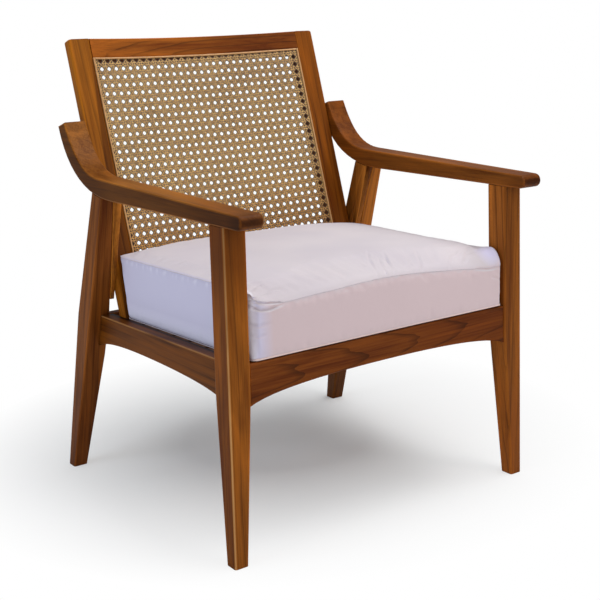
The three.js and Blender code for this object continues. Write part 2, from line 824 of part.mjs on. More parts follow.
const stile = cut(joined(loft(stileRings, stilePlan(0)), loft(lipRings, lipPlan)), [
  sideSpline(fit),
  ...levelGrooves,
  backTenon(topRailBottom, stileTop, fit),
  backTenon(bottomRailLow, bottomRailTop, fit),
  ...boltHeights.map((height) => intoBack(boltAt(height, fit))),
  ...hornDowelHeights.map((z) => intoBack(dowelAt(z, fit))),
  intoBack(packerDowel(fit)),
]);
placePair('back_stile', stile, teak, backFrame);

const railEndX = stileInnerX - fit;
const lipEndX = lipInnerX - fit;
const topRail = cut(
  joined(
    bowedBar(-railEndX, railEndX, topRailBottom, stileTop, 0, backThickness, railEasing),
    bowedBar(-lipEndX, lipEndX, topRailBottom - lipWidth, topRailBottom + overrun, lipSet, backThickness - railEasing),
    backTenon(topRailBottom, stileTop, 0),
    mirrored(backTenon(topRailBottom, stileTop, 0)),
  ),
  [levelGrooves[0]],
);
const bottomRail = cut(
  joined(
    bowedBar(-railEndX, railEndX, bottomRailLow, bottomRailTop, 0, backThickness, railEasing),
    bowedBar(-lipEndX, lipEndX, bottomRailTop - overrun, bottomRailTop + lipWidth, lipSet, backThickness - railEasing),
    backTenon(bottomRailLow, bottomRailTop, 0),
    mirrored(backTenon(bottomRailLow, bottomRailTop, 0)),
  ),
  [levelGrooves[1]],
);
place('back_top_rail', topRail, teak, backFrame);
place('back_bottom_rail', bottomRail, teak, backFrame);
placePair('cane_spline', sideSpline(0), splineReed, backFrame);
place('cane_spline_top', levelSpline(topSplineLow, 0), splineReed, backFrame);
place('cane_spline_bottom', levelSpline(bottomSplineLow, 0), splineReed, backFrame);

// Cane panel: a net of strands with square gaps, bowed with the rails
const caneHalf = stileInnerX - splineWidth - 3 * fit;
const latticeLines = (low, high, count) => {
  const pitch = (high - low - 2 * caneBorder) / count;
  const half = (pitch * caneStrandShare) / 2;
  const lines = [low];
  for (let i = 0; i < count; i += 1) {
    lines.push(low + caneBorder + i * pitch + half, low + caneBorder + (i + 1) * pitch - half);
  }
  lines.push(high);
  return lines;
};
const caneNet = () => {
  const xs = latticeLines(-caneHalf, caneHalf, caneColumns);
  const zs = latticeLines(caneLow, caneHigh, caneRows);
  const positions = [];
  const triangles = [];
  const at = (i, j, side) => (j * xs.length + i) * 2 + side;
  zs.forEach((z) => {
    xs.forEach((x) => {
      const back = lipSet - fit + bowAt(x);
      positions.push(x, back - caneThickness, z, x, back, z);
    });
  });
  const quad = (a, b, c, d) => triangles.push(a, b, c, a, c, d);
  const solidCell = (i, j) =>
    i >= 0 && j >= 0 && i < xs.length - 1 && j < zs.length - 1 && !(i % 2 === 1 && j % 2 === 1);
  for (let j = 0; j < zs.length - 1; j += 1) {
    for (let i = 0; i < xs.length - 1; i += 1) {
      if (solidCell(i, j)) {
        quad(at(i, j, 0), at(i + 1, j, 0), at(i + 1, j + 1, 0), at(i, j + 1, 0));
        quad(at(i, j, 1), at(i, j + 1, 1), at(i + 1, j + 1, 1), at(i + 1, j, 1));
        if (!solidCell(i - 1, j)) quad(at(i, j, 0), at(i, j + 1, 0), at(i, j + 1, 1), at(i, j, 1));
        if (!solidCell(i + 1, j)) quad(at(i + 1, j, 0), at(i + 1, j, 1), at(i + 1, j + 1, 1), at(i + 1, j + 1, 0));
        if (!solidCell(i, j - 1)) quad(at(i, j, 0), at(i, j, 1), at(i + 1, j, 1), at(i + 1, j, 0));
        if (!solidCell(i, j + 1)) quad(at(i, j + 1, 0), at(i + 1, j + 1, 0), at(i + 1, j + 1, 1), at(i, j + 1, 1));
      }
    }
  }
  const geometry = new THREE.BufferGeometry();
  geometry.setAttribute('position', new THREE.Float32BufferAttribute(positions, 3));
  geometry.setIndex(triangles);
  return geometry;
};
place('cane_panel', caneNet(), caneReed, backFrame);

backFrame.position.set(0, backFootY, backFootZ);
backFrame.rotation.x = -backLean;

// Cushion: rings of a plan outline with drawn-in sides, stacked from the underside over the edges to the crown.
// Its rear side leans with the back.
const cushionHalf = backHalfWidth - cushionSideGap;
const cushionBackY = backFrontY(seatZ(backFootY)) - cushionBackGap;
const cushionMidY = (cushionFrontY + cushionBackY) / 2;
const cushionHalfDepth = (cushionBackY - cushionFrontY) / 2;
const cushionOutline = (inset) => {
  const outline = easedOutline(
    -cushionHalf + inset,
    cushionHalf - inset,
    -cushionHalfDepth + inset,
    cushionHalfDepth - inset,
    Math.max(cushionCorner - inset, cushionEdge / 3),
  );
  const fine = [];
  outline.forEach((p, i) => {
    const q = outline[(i + 1) % outline.length];
    const steps = p.distanceTo(q) > cushionHalfDepth ? 8 : 1;
    for (let s = 0; s < steps; s += 1) fine.push(p.clone().lerp(q, s / steps));
  });
  return fine.map((p) => {
    const flare = (cushionFlare * (p.y + cushionHalfDepth)) / (2 * cushionHalfDepth);
    const drawX = (cushionDrawIn * (1 - (p.y / cushionHalfDepth) ** 2) - flare) * (p.x / cushionHalf);
    const drawY = cushionDrawIn * (1 - (p.x / cushionHalf) ** 2) * (p.y / cushionHalfDepth);
    return new THREE.Vector2(p.x - drawX, p.y - drawY);
  });
};
const cushionRings = () => {
  const rings = [];
  const addRing = (outline, share, height) => {
    rings.push(
      outline.map((p) => {
        const x = p.x * share;
        const y = p.y * share;
        const lean = Math.max(0, y / cushionHalfDepth) * Math.tan(backLean - seatSlope) * height;
        const acrossFall = 1 - crownWidthShare * (x / cushionHalf) ** 2;
        const depthFall = 1 - crownDepthShare * (y / cushionHalfDepth) ** 2;
        const fall = cushionFrontFall * Math.max(0, -y / cushionHalfDepth) ** 2;
        const rise = height > cushionThickness / 2 ? cushionCrown * acrossFall * depthFall - fall : 0;
        return new THREE.Vector3(x, y + lean, height + rise);
      }),
    );
  };
  const edgeSteps = [0, 1 / 3, 2 / 3, 1];
  [0.35, 0.75].forEach((share) => addRing(cushionOutline(cushionEdge), share, 0));
  edgeSteps.forEach((step) => {
    const angle = (step * Math.PI) / 2;
    addRing(cushionOutline(cushionEdge * (1 - Math.sin(angle))), 1, cushionEdge * (1 - Math.cos(angle)));
  });
  edgeSteps.forEach((step) => {
    const angle = (step * Math.PI) / 2;
    addRing(
      cushionOutline(cushionEdge * (1 - Math.cos(angle))),
      1,
      cushionThickness - cushionEdge * (1 - Math.sin(angle)),
    );
  });
  [0.85, 0.65, 0.45, 0.2].forEach((share) => addRing(cushionOutline(cushionEdge), share, cushionThickness));
  return rings;
};
const cushion = place('seat_cushion', loft(cushionRings(), cushionOutline(cushionEdge)), cotton);
cushion.position.set(0, cushionMidY, seatZ(cushionMidY) + fit);
cushion.rotation.x = -seatSlope;

// The chair stands with its footprint centred on the origin
const frontMostY = -armNoseOverhang;
const rearMostY = rearBackY(0);
const assembled = new THREE.Group();
chair.position.y = -(frontMostY + rearMostY) / 2;
assembled.add(chair);

export default assembled;
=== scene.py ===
from math import cos, exp, radians, sin, sqrt

import bmesh
import bpy
from mathutils import Matrix, Vector
from mathutils.bvhtree import BVHTree


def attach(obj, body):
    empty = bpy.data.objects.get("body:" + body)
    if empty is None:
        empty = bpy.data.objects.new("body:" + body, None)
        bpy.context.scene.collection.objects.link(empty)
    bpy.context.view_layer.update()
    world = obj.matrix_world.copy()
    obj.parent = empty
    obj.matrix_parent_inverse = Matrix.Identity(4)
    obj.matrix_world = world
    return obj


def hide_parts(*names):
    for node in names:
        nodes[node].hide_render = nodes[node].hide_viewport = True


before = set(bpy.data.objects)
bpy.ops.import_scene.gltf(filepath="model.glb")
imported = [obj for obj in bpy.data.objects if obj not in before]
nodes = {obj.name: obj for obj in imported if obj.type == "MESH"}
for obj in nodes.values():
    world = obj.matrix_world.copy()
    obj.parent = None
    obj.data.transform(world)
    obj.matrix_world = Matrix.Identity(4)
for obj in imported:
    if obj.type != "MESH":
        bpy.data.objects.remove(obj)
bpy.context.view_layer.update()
mm = 0.001


# small helpers for working in edit mode
def deselectAll():
    if bpy.context.mode != "OBJECT":
        bpy.ops.object.mode_set(mode="OBJECT")
    bpy.ops.object.select_all(action="DESELECT")


def only(obj):
    deselectAll()
    obj.select_set(True)
    bpy.context.view_layer.objects.active = obj


def editWhere(obj, kind, test):
    # enters edit mode with the faces, edges or vertices for which the test is true
    only(obj)
    bpy.ops.object.mode_set(mode="EDIT")
    bpy.ops.mesh.select_mode(type=kind)
    bpy.ops.mesh.select_all(action="DESELECT")
    bm = bmesh.from_edit_mesh(obj.data)
    for part in {"FACE": bm.faces, "EDGE": bm.edges, "VERT": bm.verts}[kind]:
        part.select = test(part)
    bm.select_flush_mode()
    bmesh.update_edit_mesh(obj.data)


def editFaces(obj, test):
    editWhere(obj, "FACE", lambda face: test(face.calc_center_median(), face.normal))


def editAll(obj):
    editFaces(obj, lambda centre, normal: True)


def leaveEdit():
    bpy.ops.object.mode_set(mode="OBJECT")


def place(obj, location=(0, 0, 0), turn=(0, 0, 0), scale=(1, 1, 1)):
    # scaled, turned in degrees and moved, with that kept in the mesh
    obj.location, obj.scale = location, scale
    obj.rotation_euler = [radians(angle) for angle in turn]
    only(obj)
    bpy.ops.object.transform_apply(location=True, rotation=True, scale=True)


def setAll(thing, values):
    for key, value in values.items():
        setattr(thing, key, value)
    return thing


def addModifier(obj, kind, **values):
    only(obj)
    return setAll(obj.modifiers.new(kind.title(), kind), values)


def applyModifier(obj, modifier):
    only(obj)
    bpy.ops.object.modifier_apply(modifier=modifier.name)


def outward(obj):
    editAll(obj)
    bpy.ops.mesh.normals_make_consistent(inside=False)
    leaveEdit()


def smooth(obj, angle):
    only(obj)
    bpy.ops.object.shade_smooth_by_angle(angle=radians(angle))


# Camera, where the photograph was taken from
camera = {
    "place": (-1.20819, -1.79194, 0.87840),
    "yaw": 35.98,
    "pitch": -13.92,
    "roll": -1.67,
    "lens": 68.91,
    "shiftX": -0.0534,
    "shiftY": 0.00515,
    "sensor": 36,
    "clipEnd": 60,
}

yaw, pitch, roll = (radians(camera[k]) for k in ("yaw", "pitch", "roll"))
ahead = Vector((sin(yaw) * cos(pitch), cos(yaw) * cos(pitch), sin(pitch)))
levelRight = Vector((cos(yaw), -sin(yaw), 0))
levelUp = levelRight.cross(ahead)
rightward = levelRight * cos(roll) + levelUp * sin(roll)
upward = levelUp * cos(roll) - levelRight * sin(roll)
deselectAll()
bpy.ops.object.camera_add(location=camera["place"])
cameraObject = bpy.context.object
turn = Matrix((rightward, upward, -ahead)).transposed()
cameraObject.rotation_euler = turn.to_euler()
cameraObject.data.sensor_width = camera["sensor"]
cameraObject.data.lens = camera["lens"]
cameraObject.data.shift_x = camera["shiftX"]
cameraObject.data.shift_y = camera["shiftY"]
cameraObject.data.clip_end = camera["clipEnd"]
bpy.context.scene.camera = cameraObject
bpy.context.scene.view_settings.view_transform = "Standard"
print("camera placed")


# small helpers for node materials
def fill(node, **values):
    # values of a node's own sockets, with _ for a space in the name
    for key, value in values.items():
        node.inputs[key.replace("_", " ")].default_value = value


class Shader:
    def __init__(self, name):
        self.material = bpy.data.materials.new(name)
        self.material.use_nodes = True
        self.tree = self.material.node_tree
        self.surface = self.tree.nodes["Principled BSDF"]

    def add(self, kind, **values):
        return setAll(self.tree.nodes.new(kind), values)

    def join(self, source, target):
        self.tree.links.new(source, target)

    def objectSpot(self, centre=(0, 0, 0), turn=(0, 0, 0)):
        # place on the piece, counted from a centre, and turned
        coords = self.add("ShaderNodeTexCoord")
        move = self.add("ShaderNodeMapping")
        fill(move, Location=[-c for c in centre])
        spin = self.add("ShaderNodeMapping")
        fill(spin, Rotation=[radians(a) for a in turn])
        self.join(coords.outputs["Object"], move.inputs["Vector"])
        self.join(move.outputs["Vector"], spin.inputs["Vector"])
        return spin.outputs["Vector"]

    def stretched(self, vector, scale):
        node = self.add("ShaderNodeMapping")
        fill(node, Scale=scale)
        self.join(vector, node.inputs["Vector"])
        return node.outputs["Vector"]

    def split(self, vector):
        node = self.add("ShaderNodeSeparateXYZ")
        self.join(vector, node.inputs[0])
        return [node.outputs[axis] for axis in range(3)]

    def facing(self):
        # which way the surface looks, along the piece's own axes
        return self.split(self.add("ShaderNodeTexCoord").outputs["Normal"])

    def length(self, vector):
        node = self.add("ShaderNodeVectorMath", operation="LENGTH")
        self.join(vector, node.inputs[0])
        return node.outputs["Value"]

    def distanceFromLine(self, start, end):
        cross = self.add("ShaderNodeVectorMath", operation="CROSS_PRODUCT")
        self.join(self.objectSpot(centre=start), cross.inputs[0])
        cross.inputs[1].default_value = (Vector(end) - Vector(start)).normalized()
        return self.length(cross.outputs[0])

    def noise(self, vector, scale, detail=3, roughness=0.5, distortion=0):
        node = self.add("ShaderNodeTexNoise")
        fill(node, Scale=scale, Detail=detail, Roughness=roughness, Distortion=distortion)
        self.join(vector, node.inputs["Vector"])
        return node.outputs["Fac"]

    def wave(self, vector, scale, kind="BANDS", direction="X", distortion=0, detail=2, detailScale=1, profile="SIN"):
        node = self.add("ShaderNodeTexWave", wave_type=kind, wave_profile=profile)
        setattr(node, kind.lower() + "_direction", direction)
        fill(node, Scale=scale, Distortion=distortion, Detail=detail, Detail_Scale=detailScale)
        self.join(vector, node.inputs["Vector"])
        return node.outputs["Fac"]

    def ramp(self, value, stops):
        node = self.add("ShaderNodeValToRGB")
        ramp = node.color_ramp
        while len(ramp.elements) < len(stops):
            ramp.elements.new(1)
        for element, (at, colour) in zip(ramp.elements, stops):
            element.position = at
            element.color = (*colour, 1)
        self.join(value, node.inputs["Fac"])
        return node.outputs["Color"]

    def rescale(self, value, low, high, fromLow=0.0, fromHigh=1.0):
        node = self.add("ShaderNodeMapRange")
        fill(node, From_Min=fromLow, From_Max=fromHigh, To_Min=low, To_Max=high)
        self.join(value, node.inputs["Value"])
        return node.outputs["Result"]

    def within(self, value, low, high, soft):
        # 1 between low and high, and 0 outside, over a soft edge
        return self.math("MULTIPLY", self.rescale(value, 0, 1, low - soft, low + soft),
                         self.rescale(value, 1, 0, high - soft, high + soft))

    def math(self, operation, first, second):
        node = self.add("ShaderNodeMath", operation=operation)
        for socket, value in zip(node.inputs, (first, second)):
            if isinstance(value, (int, float)):
                socket.default_value = value
            else:
                self.join(value, socket)
        return node.outputs[0]

    def weighted(self, *parts):
        # the sum of some values, each at its share
        total = 0
        for value, share in parts:
            total = self.math("ADD", self.math("MULTIPLY", value, share), total)
        return total

    def mix(self, share, first, second, blend="MIX"):
        node = self.add("ShaderNodeMix", data_type="RGBA", blend_type=blend)
        for socket, value in zip((node.inputs[n] for n in (0, 6, 7)), (share, first, second)):
            if isinstance(value, (int, float)):
                socket.default_value = value
            elif isinstance(value, tuple):
                socket.default_value = (*value, 1)
            else:
                self.join(value, socket)
        return node.outputs[2]

    def bump(self, height, strength, distance):
        node = self.add("ShaderNodeBump")
        fill(node, Strength=strength, Distance=distance)
        self.join(height, node.inputs["Height"])
        self.join(node.outputs["Normal"], self.surface.inputs["Normal"])

    def colour(self, value):
        self.join(value, self.surface.inputs["Base Color"])

    def rough(self, value):
        self.join(value, self.surface.inputs["Roughness"])


def srgb(red, green, blue):
    # a tone as seen on screen, turned into the linear one that nodes take
    return tuple(c / 255 / 12.92 if c <= 10 else ((c / 255 + 0.055) / 1.055) ** 2.4 for c in (red, green, blue))


# Oiled teak: broad bands of tone and thin late-wood lines round the heart, fibres and pores along the grain.
# Masks, here and below, are given as their two values and the two places between which they change.
teak = {
    "bands": (34, 0.07, 3, 0.55, 0.8),  # scale, stretch along the grain, detail, roughness, distortion
    "fibres": (330, 0.02, 5, 0.72, 0),
    "pores": (700, 0.02, 2, 0.7, 0),
    "rings": {"scale": 30, "distortion": 3.2, "detail": 2, "detailScale": 1.4},
    "ringStretch": 0.06,
    "bandShare": 0.62,  # of the figure; fibres make the rest
    "figure": (0.37, 0.5, 0.65),  # where the wood is dark, of its own tone, and light
    "dark": (0.56, 0.44, 0.34),  # as shares of the tone
    "light": (1.55, 1.5, 1.35),
    # edge: the tone of the painted highlight on eased corners, as shares of the tone
    "edge": (2.7, 2.8, 3.0),
    "lateWood": (0, 1, 0.78, 0.97),  # the dark end of each ring
    "lateFade": (0.25, 1, 0.64, 0.42),  # comes and goes with the bands
    "lateDepth": 0.85,
    "lateTone": 0.34,
    "poreMask": (0, 1, 0.6, 0.7),
    "poreStrength": 0.3,
    "poreTone": 0.35,
    # side faces get painted shade, or painted light where a board's share is above 1
    "sideShadingFaces": (0, 1, 0.8, 0.95),
    "endFaces": (0, 1, 0.86, 0.95),
    "endTone": 0.5,
    # painted highlight on eased corners, by how their faces meet, fading with the bands
    "corners": (0, 0.7, 0.28, 0.45),
    "cornerHighlightFade": (0.45, 1, 0.4, 0.56),
    "lineHighlight": srgb(206, 160, 106),  # painted highlight along some eased edges, in a pale tone
    "lineHighlightWidth": (1, 0, 0.0007, 0.0024),
    "lineHighlightFade": (0.25, 0.8, 0.36, 0.6),
    "shadowLine": (1, 0, 0.0035, 0.011),  # painted shadow in the gap along the cushion
    "shadowLineTone": 0.05,
    # softness of the painted shade patches
    "shadePatchSoft": 0.35,
    "shadeAndOilTint": (0.91, 0.8),  # green and blue where the colour is darkened: by painted shade, by oil on end grain, and in the streak beside the cane
    # green and blue where side faces get painted light
    "paintedLightTint": (1.02, 1.25),
    # painted shade on the lip behind the cane
    "rebateShade": srgb(66, 34, 12),
    "roughness": (0.36, 0.52),
    "gloss": 0.07,
    "fibreHeight": 0.4,
    "relief": (0.5, 0.00012),
}

# Back frame: places in it run across, in depth behind its front face, and up its slope
backFrame = {
    "foot": (0, 0.1421, 0.292),
    "lean": 16.8,
    "rebateAcross": (-0.2396, 0.2396, 0.0001),  # from, to, and softness of the edge
    "rebateUp": (0.1036, 0.5497, 0.0001),
    "rebateDepth": (1, 0, 0.018, 0.0185),
    "streak": (0.2841, 0.2441, 0, 0.55),  # how far out it starts, at the foot and at the top of the cane
    "streakWaver": (-0.004, 0.004),
    "streakEdge": (0, 1, -0.001, 0.0015),
    "streakTop": (1, 0, 0.545, 0.552),
}


def shade(shader, mask, colour, share):
    # the colour at a share of its strength where the mask is 1: painted shade or light, oiled end grain, or the
    # streak
    green, blue = teak["shadeAndOilTint"] if share < 1 else teak["paintedLightTint"]
    scale = shader.mix(mask, (1, 1, 1), (share, share * green, share * blue))
    return shader.mix(1.0, colour, scale, blend="MULTIPLY")


def backSpot(shader):
    return shader.split(shader.objectSpot(centre=backFrame["foot"], turn=(backFrame["lean"], 0, 0)))


def streakMask(shader, bands):
    # a dark streak beside the cane, which widens down the stile
    across, _, up = backSpot(shader)
    start = shader.math("ADD", shader.rescale(up, *backFrame["streak"]),
                        shader.rescale(bands, *backFrame["streakWaver"]))
    inner = shader.math("SUBTRACT", start, shader.math("ABSOLUTE", across, 0))
    return shader.math("MULTIPLY", shader.rescale(inner, *backFrame["streakEdge"]),
                       shader.rescale(up, *backFrame["streakTop"]))


def rebateShadeMask(shader):
    # painted shade: the lip behind the edge of the cane, deep in the rebate, is darkened
    across, depth, up = backSpot(shader)
    inside = shader.math("MULTIPLY", shader.within(across, *backFrame["rebateAcross"]),
                         shader.within(up, *backFrame["rebateUp"]))
    return shader.math("MULTIPLY", inside, shader.rescale(depth, *backFrame["rebateDepth"]))


def grainNoise(shader, base, scale, stretch, *looks):
    return shader.noise(shader.stretched(base, (1, 1, stretch)), scale, *looks)


def teakMaterial(name, board):
    grain, tone = board["grain"], srgb(*board["tone"])
    shader = Shader("teak_" + name)
    turns = {"x": (0, 90, 0), "y": (90, 0, 0), "z": (board.get("lean", 0), 0, 0)}
    base = shader.objectSpot(centre=board["heart"], turn=turns[grain])
    slant = shader.add("ShaderNodeMapping")
    fill(slant, Rotation=[radians(a) for a in (*board["tilt"], 0)])
    shader.join(base, slant.inputs["Vector"])
    rings = shader.wave(shader.stretched(slant.outputs["Vector"], (1, 1, teak["ringStretch"])), kind="RINGS",
                        direction="Z", profile="SAW", **teak["rings"])
    bands, fibres, pores = (grainNoise(shader, base, *teak[key]) for key in ("bands", "fibres", "pores"))
    figure = shader.weighted((bands, teak["bandShare"]), (fibres, 1 - teak["bandShare"]))
    dark, light, edge = (tuple(min(1, c * share) for c, share in zip(tone, teak[key]))
                         for key in ("dark", "light", "edge"))
    colour = shader.ramp(figure, list(zip(teak["figure"], (dark, tone, light))))
    # thin dark lines at the end of each ring, and pores
    late = shader.math("MULTIPLY", shader.rescale(rings, *teak["lateWood"]), shader.rescale(bands, *teak["lateFade"]))
    late = shader.math("MULTIPLY", late, teak["lateDepth"] * board.get("lines", 1))
    colour = shader.mix(late, colour, tuple(c * teak["lateTone"] for c in tone))
    poreMask = shader.rescale(pores, *teak["poreMask"])
    colour = shader.mix(shader.math("MULTIPLY", poreMask, teak["poreStrength"]), colour,
                        tuple(c * teak["poreTone"] for c in tone))
    # faces by their way: oil darkens end grain, side faces get painted shade, or painted light where the share is
    # above 1, and eased corners get a painted highlight
    flat = [shader.math("ABSOLUTE", way, 0) for way in shader.facing()]
    # painted shade on the side faces, or painted light where the share is above 1
    if "sideShading" in board:
        colour = shade(shader, shader.rescale(flat[0], *teak["sideShadingFaces"]), colour, board["sideShading"])
    if grain == "y":
        colour = shade(shader, shader.rescale(flat[1], *teak["endFaces"]), colour, teak["endTone"])
    corner = 0
    for a, b in ((0, 1), (0, 2), (1, 2)) if board.get("highlightTop") else ((0, 1), (0, 2)):
        corner = shader.math("MAXIMUM", shader.math("MULTIPLY", flat[a], flat[b]), corner)
    # painted highlight along eased corners, on top edges too for some boards
    highlighted = shader.math("MULTIPLY", shader.rescale(corner, *teak["corners"]),
                         shader.rescale(bands, *teak["cornerHighlightFade"]))
    colour = shader.mix(highlighted, colour, edge)
    # painted highlight along a line on one edge of a board
    if "highlightLine" in board:
        start, end, share = board["highlightLine"]
        low, high, *bandEnds = teak["lineHighlightFade"]
        lineHighlight = shader.math("MULTIPLY", shader.rescale(shader.distanceFromLine(start, end), *teak["lineHighlightWidth"]),
                           shader.rescale(bands, low * share, high * share, *bandEnds))
        colour = shader.mix(lineHighlight, colour, teak["lineHighlight"])
    # painted shadow along the gap between the rail and the cushion
    if "shadowLine" in board:
        shadowed = shader.rescale(shader.distanceFromLine(*board["shadowLine"]), *teak["shadowLine"])
        colour = shade(shader, shadowed, colour, teak["shadowLineTone"])
    # painted shade: darker spots, such as under the arms and low on the legs
    for centre, radius, share in board.get("shadePatches", ()):
        near = shader.math("ADD", shader.length(shader.objectSpot(centre=centre)),
                           shader.rescale(bands, radius / 2, -radius / 2))
        colour = shade(shader, shader.rescale(near, 1, 0, radius * teak["shadePatchSoft"], radius), colour, share)
    if "streak" in board:
        colour = shade(shader, streakMask(shader, bands), colour, board["streak"])
    # painted shade on the lip deep in the rebate
    if name.startswith("back_"):
        colour = shader.mix(rebateShadeMask(shader), colour, teak["rebateShade"])
    shader.colour(colour)
    shader.rough(shader.rescale(fibres, *teak["roughness"]))
    shader.surface.inputs["Specular IOR Level"].default_value = teak["gloss"]
    shader.bump(shader.math("SUBTRACT", shader.math("MULTIPLY", fibres, teak["fibreHeight"]), poreMask),
                *teak["relief"])
    return shader.material


# Each board: way of the grain, a place in the heart of the rings, tone on screen, slant of the rings in degrees,
# and where the photograph shows them, painted shade patches (centre, radius, share of the tone), painted highlight
# lines and painted shadow lines
boards = {
    "front_leg_left": {"grain": "z", "heart": (-0.40, -0.36, 0.2), "tone": (138, 78, 20), "tilt": (1.2, 0.8),
                       "sideShading": 0.8, "shadePatches": [((-0.31, -0.29, 0.57), 0.14, 0.6)],
                       "highlightLine": ((-0.329, -0.2895, 0), (-0.320, -0.2895, 0.571), 1)},
    "front_leg_right": {"grain": "z", "heart": (0.42, -0.16, 0.5), "tone": (131, 74, 22), "tilt": (0.8, -1.2),
                        "sideShading": 1.55, "shadePatches": [((0.33, -0.28, 0.0), 0.26, 0.84)]},
    "rear_leg_left": {"grain": "z", "heart": (-0.44, 0.36, 0.1), "tone": (126, 70, 24), "tilt": (1.4, 0.6),
                      "lean": -18.2, "shadePatches": [((-0.33, 0.33, 0.0), 0.26, 0.76)]},
    "rear_leg_right": {"grain": "z", "heart": (0.22, 0.16, 0.4), "tone": (168, 99, 33), "tilt": (-0.8, 1.2),
                       "lean": -18.2, "shadePatches": [((0.33, 0.33, 0.0), 0.30, 0.24)]},
    "rear_packer_left": {"grain": "z", "heart": (-0.20, 0.14, 0.4), "tone": (150, 90, 28), "tilt": (1, 1)},
    "rear_packer_right": {"grain": "z", "heart": (0.38, 0.18, 0.3), "tone": (140, 82, 27), "tilt": (1, 1)},
    "arm_left": {"grain": "y", "heart": (-0.41, -0.1, 0.50), "tone": (140, 85, 30), "tilt": (0.8, 0.5),
                 "lines": 0.45, "sideShading": 0.42,
                 "shadePatches": [((-0.34, -0.30, 0.56), 0.17, 0.72), ((-0.31, -0.345, 0.57), 0.05, 0.5),
                             ((-0.29, 0.16, 0.64), 0.10, 0.72)]},
    "arm_right": {"grain": "y", "heart": (0.22, 0.1, 0.52), "tone": (120, 67, 21), "tilt": (1, 0.6), "lines": 0.45,
                  "shadePatches": [((0.31, 0.19, 0.66), 0.15, 0.9), ((0.31, -0.345, 0.57), 0.06, 0.6)]},
    "side_rail_left": {"grain": "y", "heart": (-0.22, 0.05, 0.22), "tone": (101, 54, 11), "tilt": (1.6, 1),
                       "highlightLine": ((-0.3095, -0.2876, 0.3473), (-0.3095, 0.2, 0.3358), 0.5),
                       "shadowLine": ((-0.2845, -0.2876, 0.3475), (-0.2845, 0.2, 0.336))},
    "side_rail_right": {"grain": "y", "heart": (0.40, 0.0, 0.40), "tone": (120, 66, 20), "tilt": (1, 0.6),
                        "shadowLine": ((0.2845, -0.2876, 0.3475), (0.2845, 0.2, 0.336))},
    "front_rail": {"grain": "x", "heart": (-0.117, -0.2403, 0.316), "tone": (116, 60, 17), "tilt": (-5, 1.2),
                   "shadePatches": [((0.21, -0.29, 0.33), 0.2, 0.86)]},
    "rear_rail": {"grain": "x", "heart": (0.1, 0.20, 0.20), "tone": (126, 72, 23), "tilt": (1, 1.4),
                  "highlightTop": True},
    "back_stile_left": {"grain": "z", "heart": (-0.18, 0.08, 0.6), "tone": (145, 84, 17), "tilt": (0.6, 0.5),
                        "lean": 16.8, "streak": 0.5},
    "back_stile_right": {"grain": "z", "heart": (0.36, 0.36, 0.5), "tone": (122, 65, 13), "tilt": (0.8, -0.6),
                         "lean": 16.8},
    "back_top_rail": {"grain": "x", "heart": (-0.05, 0.34, 0.80), "tone": (140, 76, 20), "tilt": (4, 1),
                      "highlightTop": True, "shadePatches": [((0.17, 0.31, 0.83), 0.2, 0.7)]},
    "back_bottom_rail": {"grain": "x", "heart": (0.15, 0.08, 0.38), "tone": (136, 78, 23), "tilt": (1, 1),
                         "highlightTop": True},
}


def dress(name, material):
    obj = nodes[name]
    obj.data.materials.clear()
    obj.data.materials.append(material)


for name, board in boards.items():
    dress(name, teakMaterial(name, board))
print("teak boards finished:", len(boards))


# Plain unoiled hardwood of the deck, cleats, glue blocks and dowels
deckWood = {
    "grain": (120, 0.05, 4, 0.6),  # scale, stretch along the grain, detail, roughness
    "tone": (12, 0.2, 1),
    "grainShare": 0.7,
    "late": (0.3, srgb(104, 66, 34)),
    "early": (0.7, srgb(150, 104, 60)),
    "roughness": (0.5, 0.7),
    "relief": (0.4, 0.0001),
}
# zinc plated screws and bolts
steel = {
    "wear": (700, 3),
    "dull": (0.3, srgb(150, 150, 152)),
    "bright": (0.7, srgb(186, 186, 190)),
    "roughness": (0.25, 0.45),
    "relief": (0.2, 0.00005),
}
# glossy outer skin of rattan: fine lines, darker joints and broad blotches
reed = {
    "fine": (900, 2),
    "joints": (330, 3, 0.6),
    "blotch": (7, 1),
    "shares": (0.35, 0.5, 0.15),
    "ends": (0.38, 0.6),
    "warm": (1, 0.77, 0.4),  # low down, where the cushion lights the weave
    "warmUp": (1, 0, 0.12, 0.3),
    "roughness": (0.35, 0.6),
    "relief": (0.3, 0.00006),
}


def deckMaterial():
    shader = Shader("planed_deck_wood")
    base = shader.objectSpot(turn=(0, 90, 0))
    grain, tone = (grainNoise(shader, base, *deckWood[key]) for key in ("grain", "tone"))
    mixed = shader.weighted((grain, deckWood["grainShare"]), (tone, 1 - deckWood["grainShare"]))
    shader.colour(shader.ramp(mixed, [deckWood["late"], deckWood["early"]]))
    shader.rough(shader.rescale(grain, *deckWood["roughness"]))
    shader.bump(grain, *deckWood["relief"])
    return shader.material


def steelMaterial():
    shader = Shader("zinc_plated_steel")
    wear = shader.noise(shader.objectSpot(), *steel["wear"])
    shader.colour(shader.ramp(wear, [steel["dull"], steel["bright"]]))
    shader.rough(shader.rescale(wear, *steel["roughness"]))
    shader.surface.inputs["Metallic"].default_value = 1
    shader.bump(wear, *steel["relief"])
    return shader.material


def reedMaterial(name, light, deep):
    shader = Shader(name)
    base = shader.objectSpot()
    noises = [shader.noise(base, *reed[key]) for key in ("fine", "joints", "blotch")]
    colour = shader.ramp(shader.weighted(*zip(noises, reed["shares"])), list(zip(reed["ends"], (deep, light))))
    if name.startswith("woven"):
        up = backSpot(shader)[2]
        warm = shader.mix(shader.rescale(up, *reed["warmUp"]), (1, 1, 1), reed["warm"])
        colour = shader.mix(1.0, colour, warm, blend="MULTIPLY")
    shader.colour(colour)
    shader.rough(shader.rescale(noises[0], *reed["roughness"]))
    shader.bump(noises[0], *reed["relief"])
    return shader.material


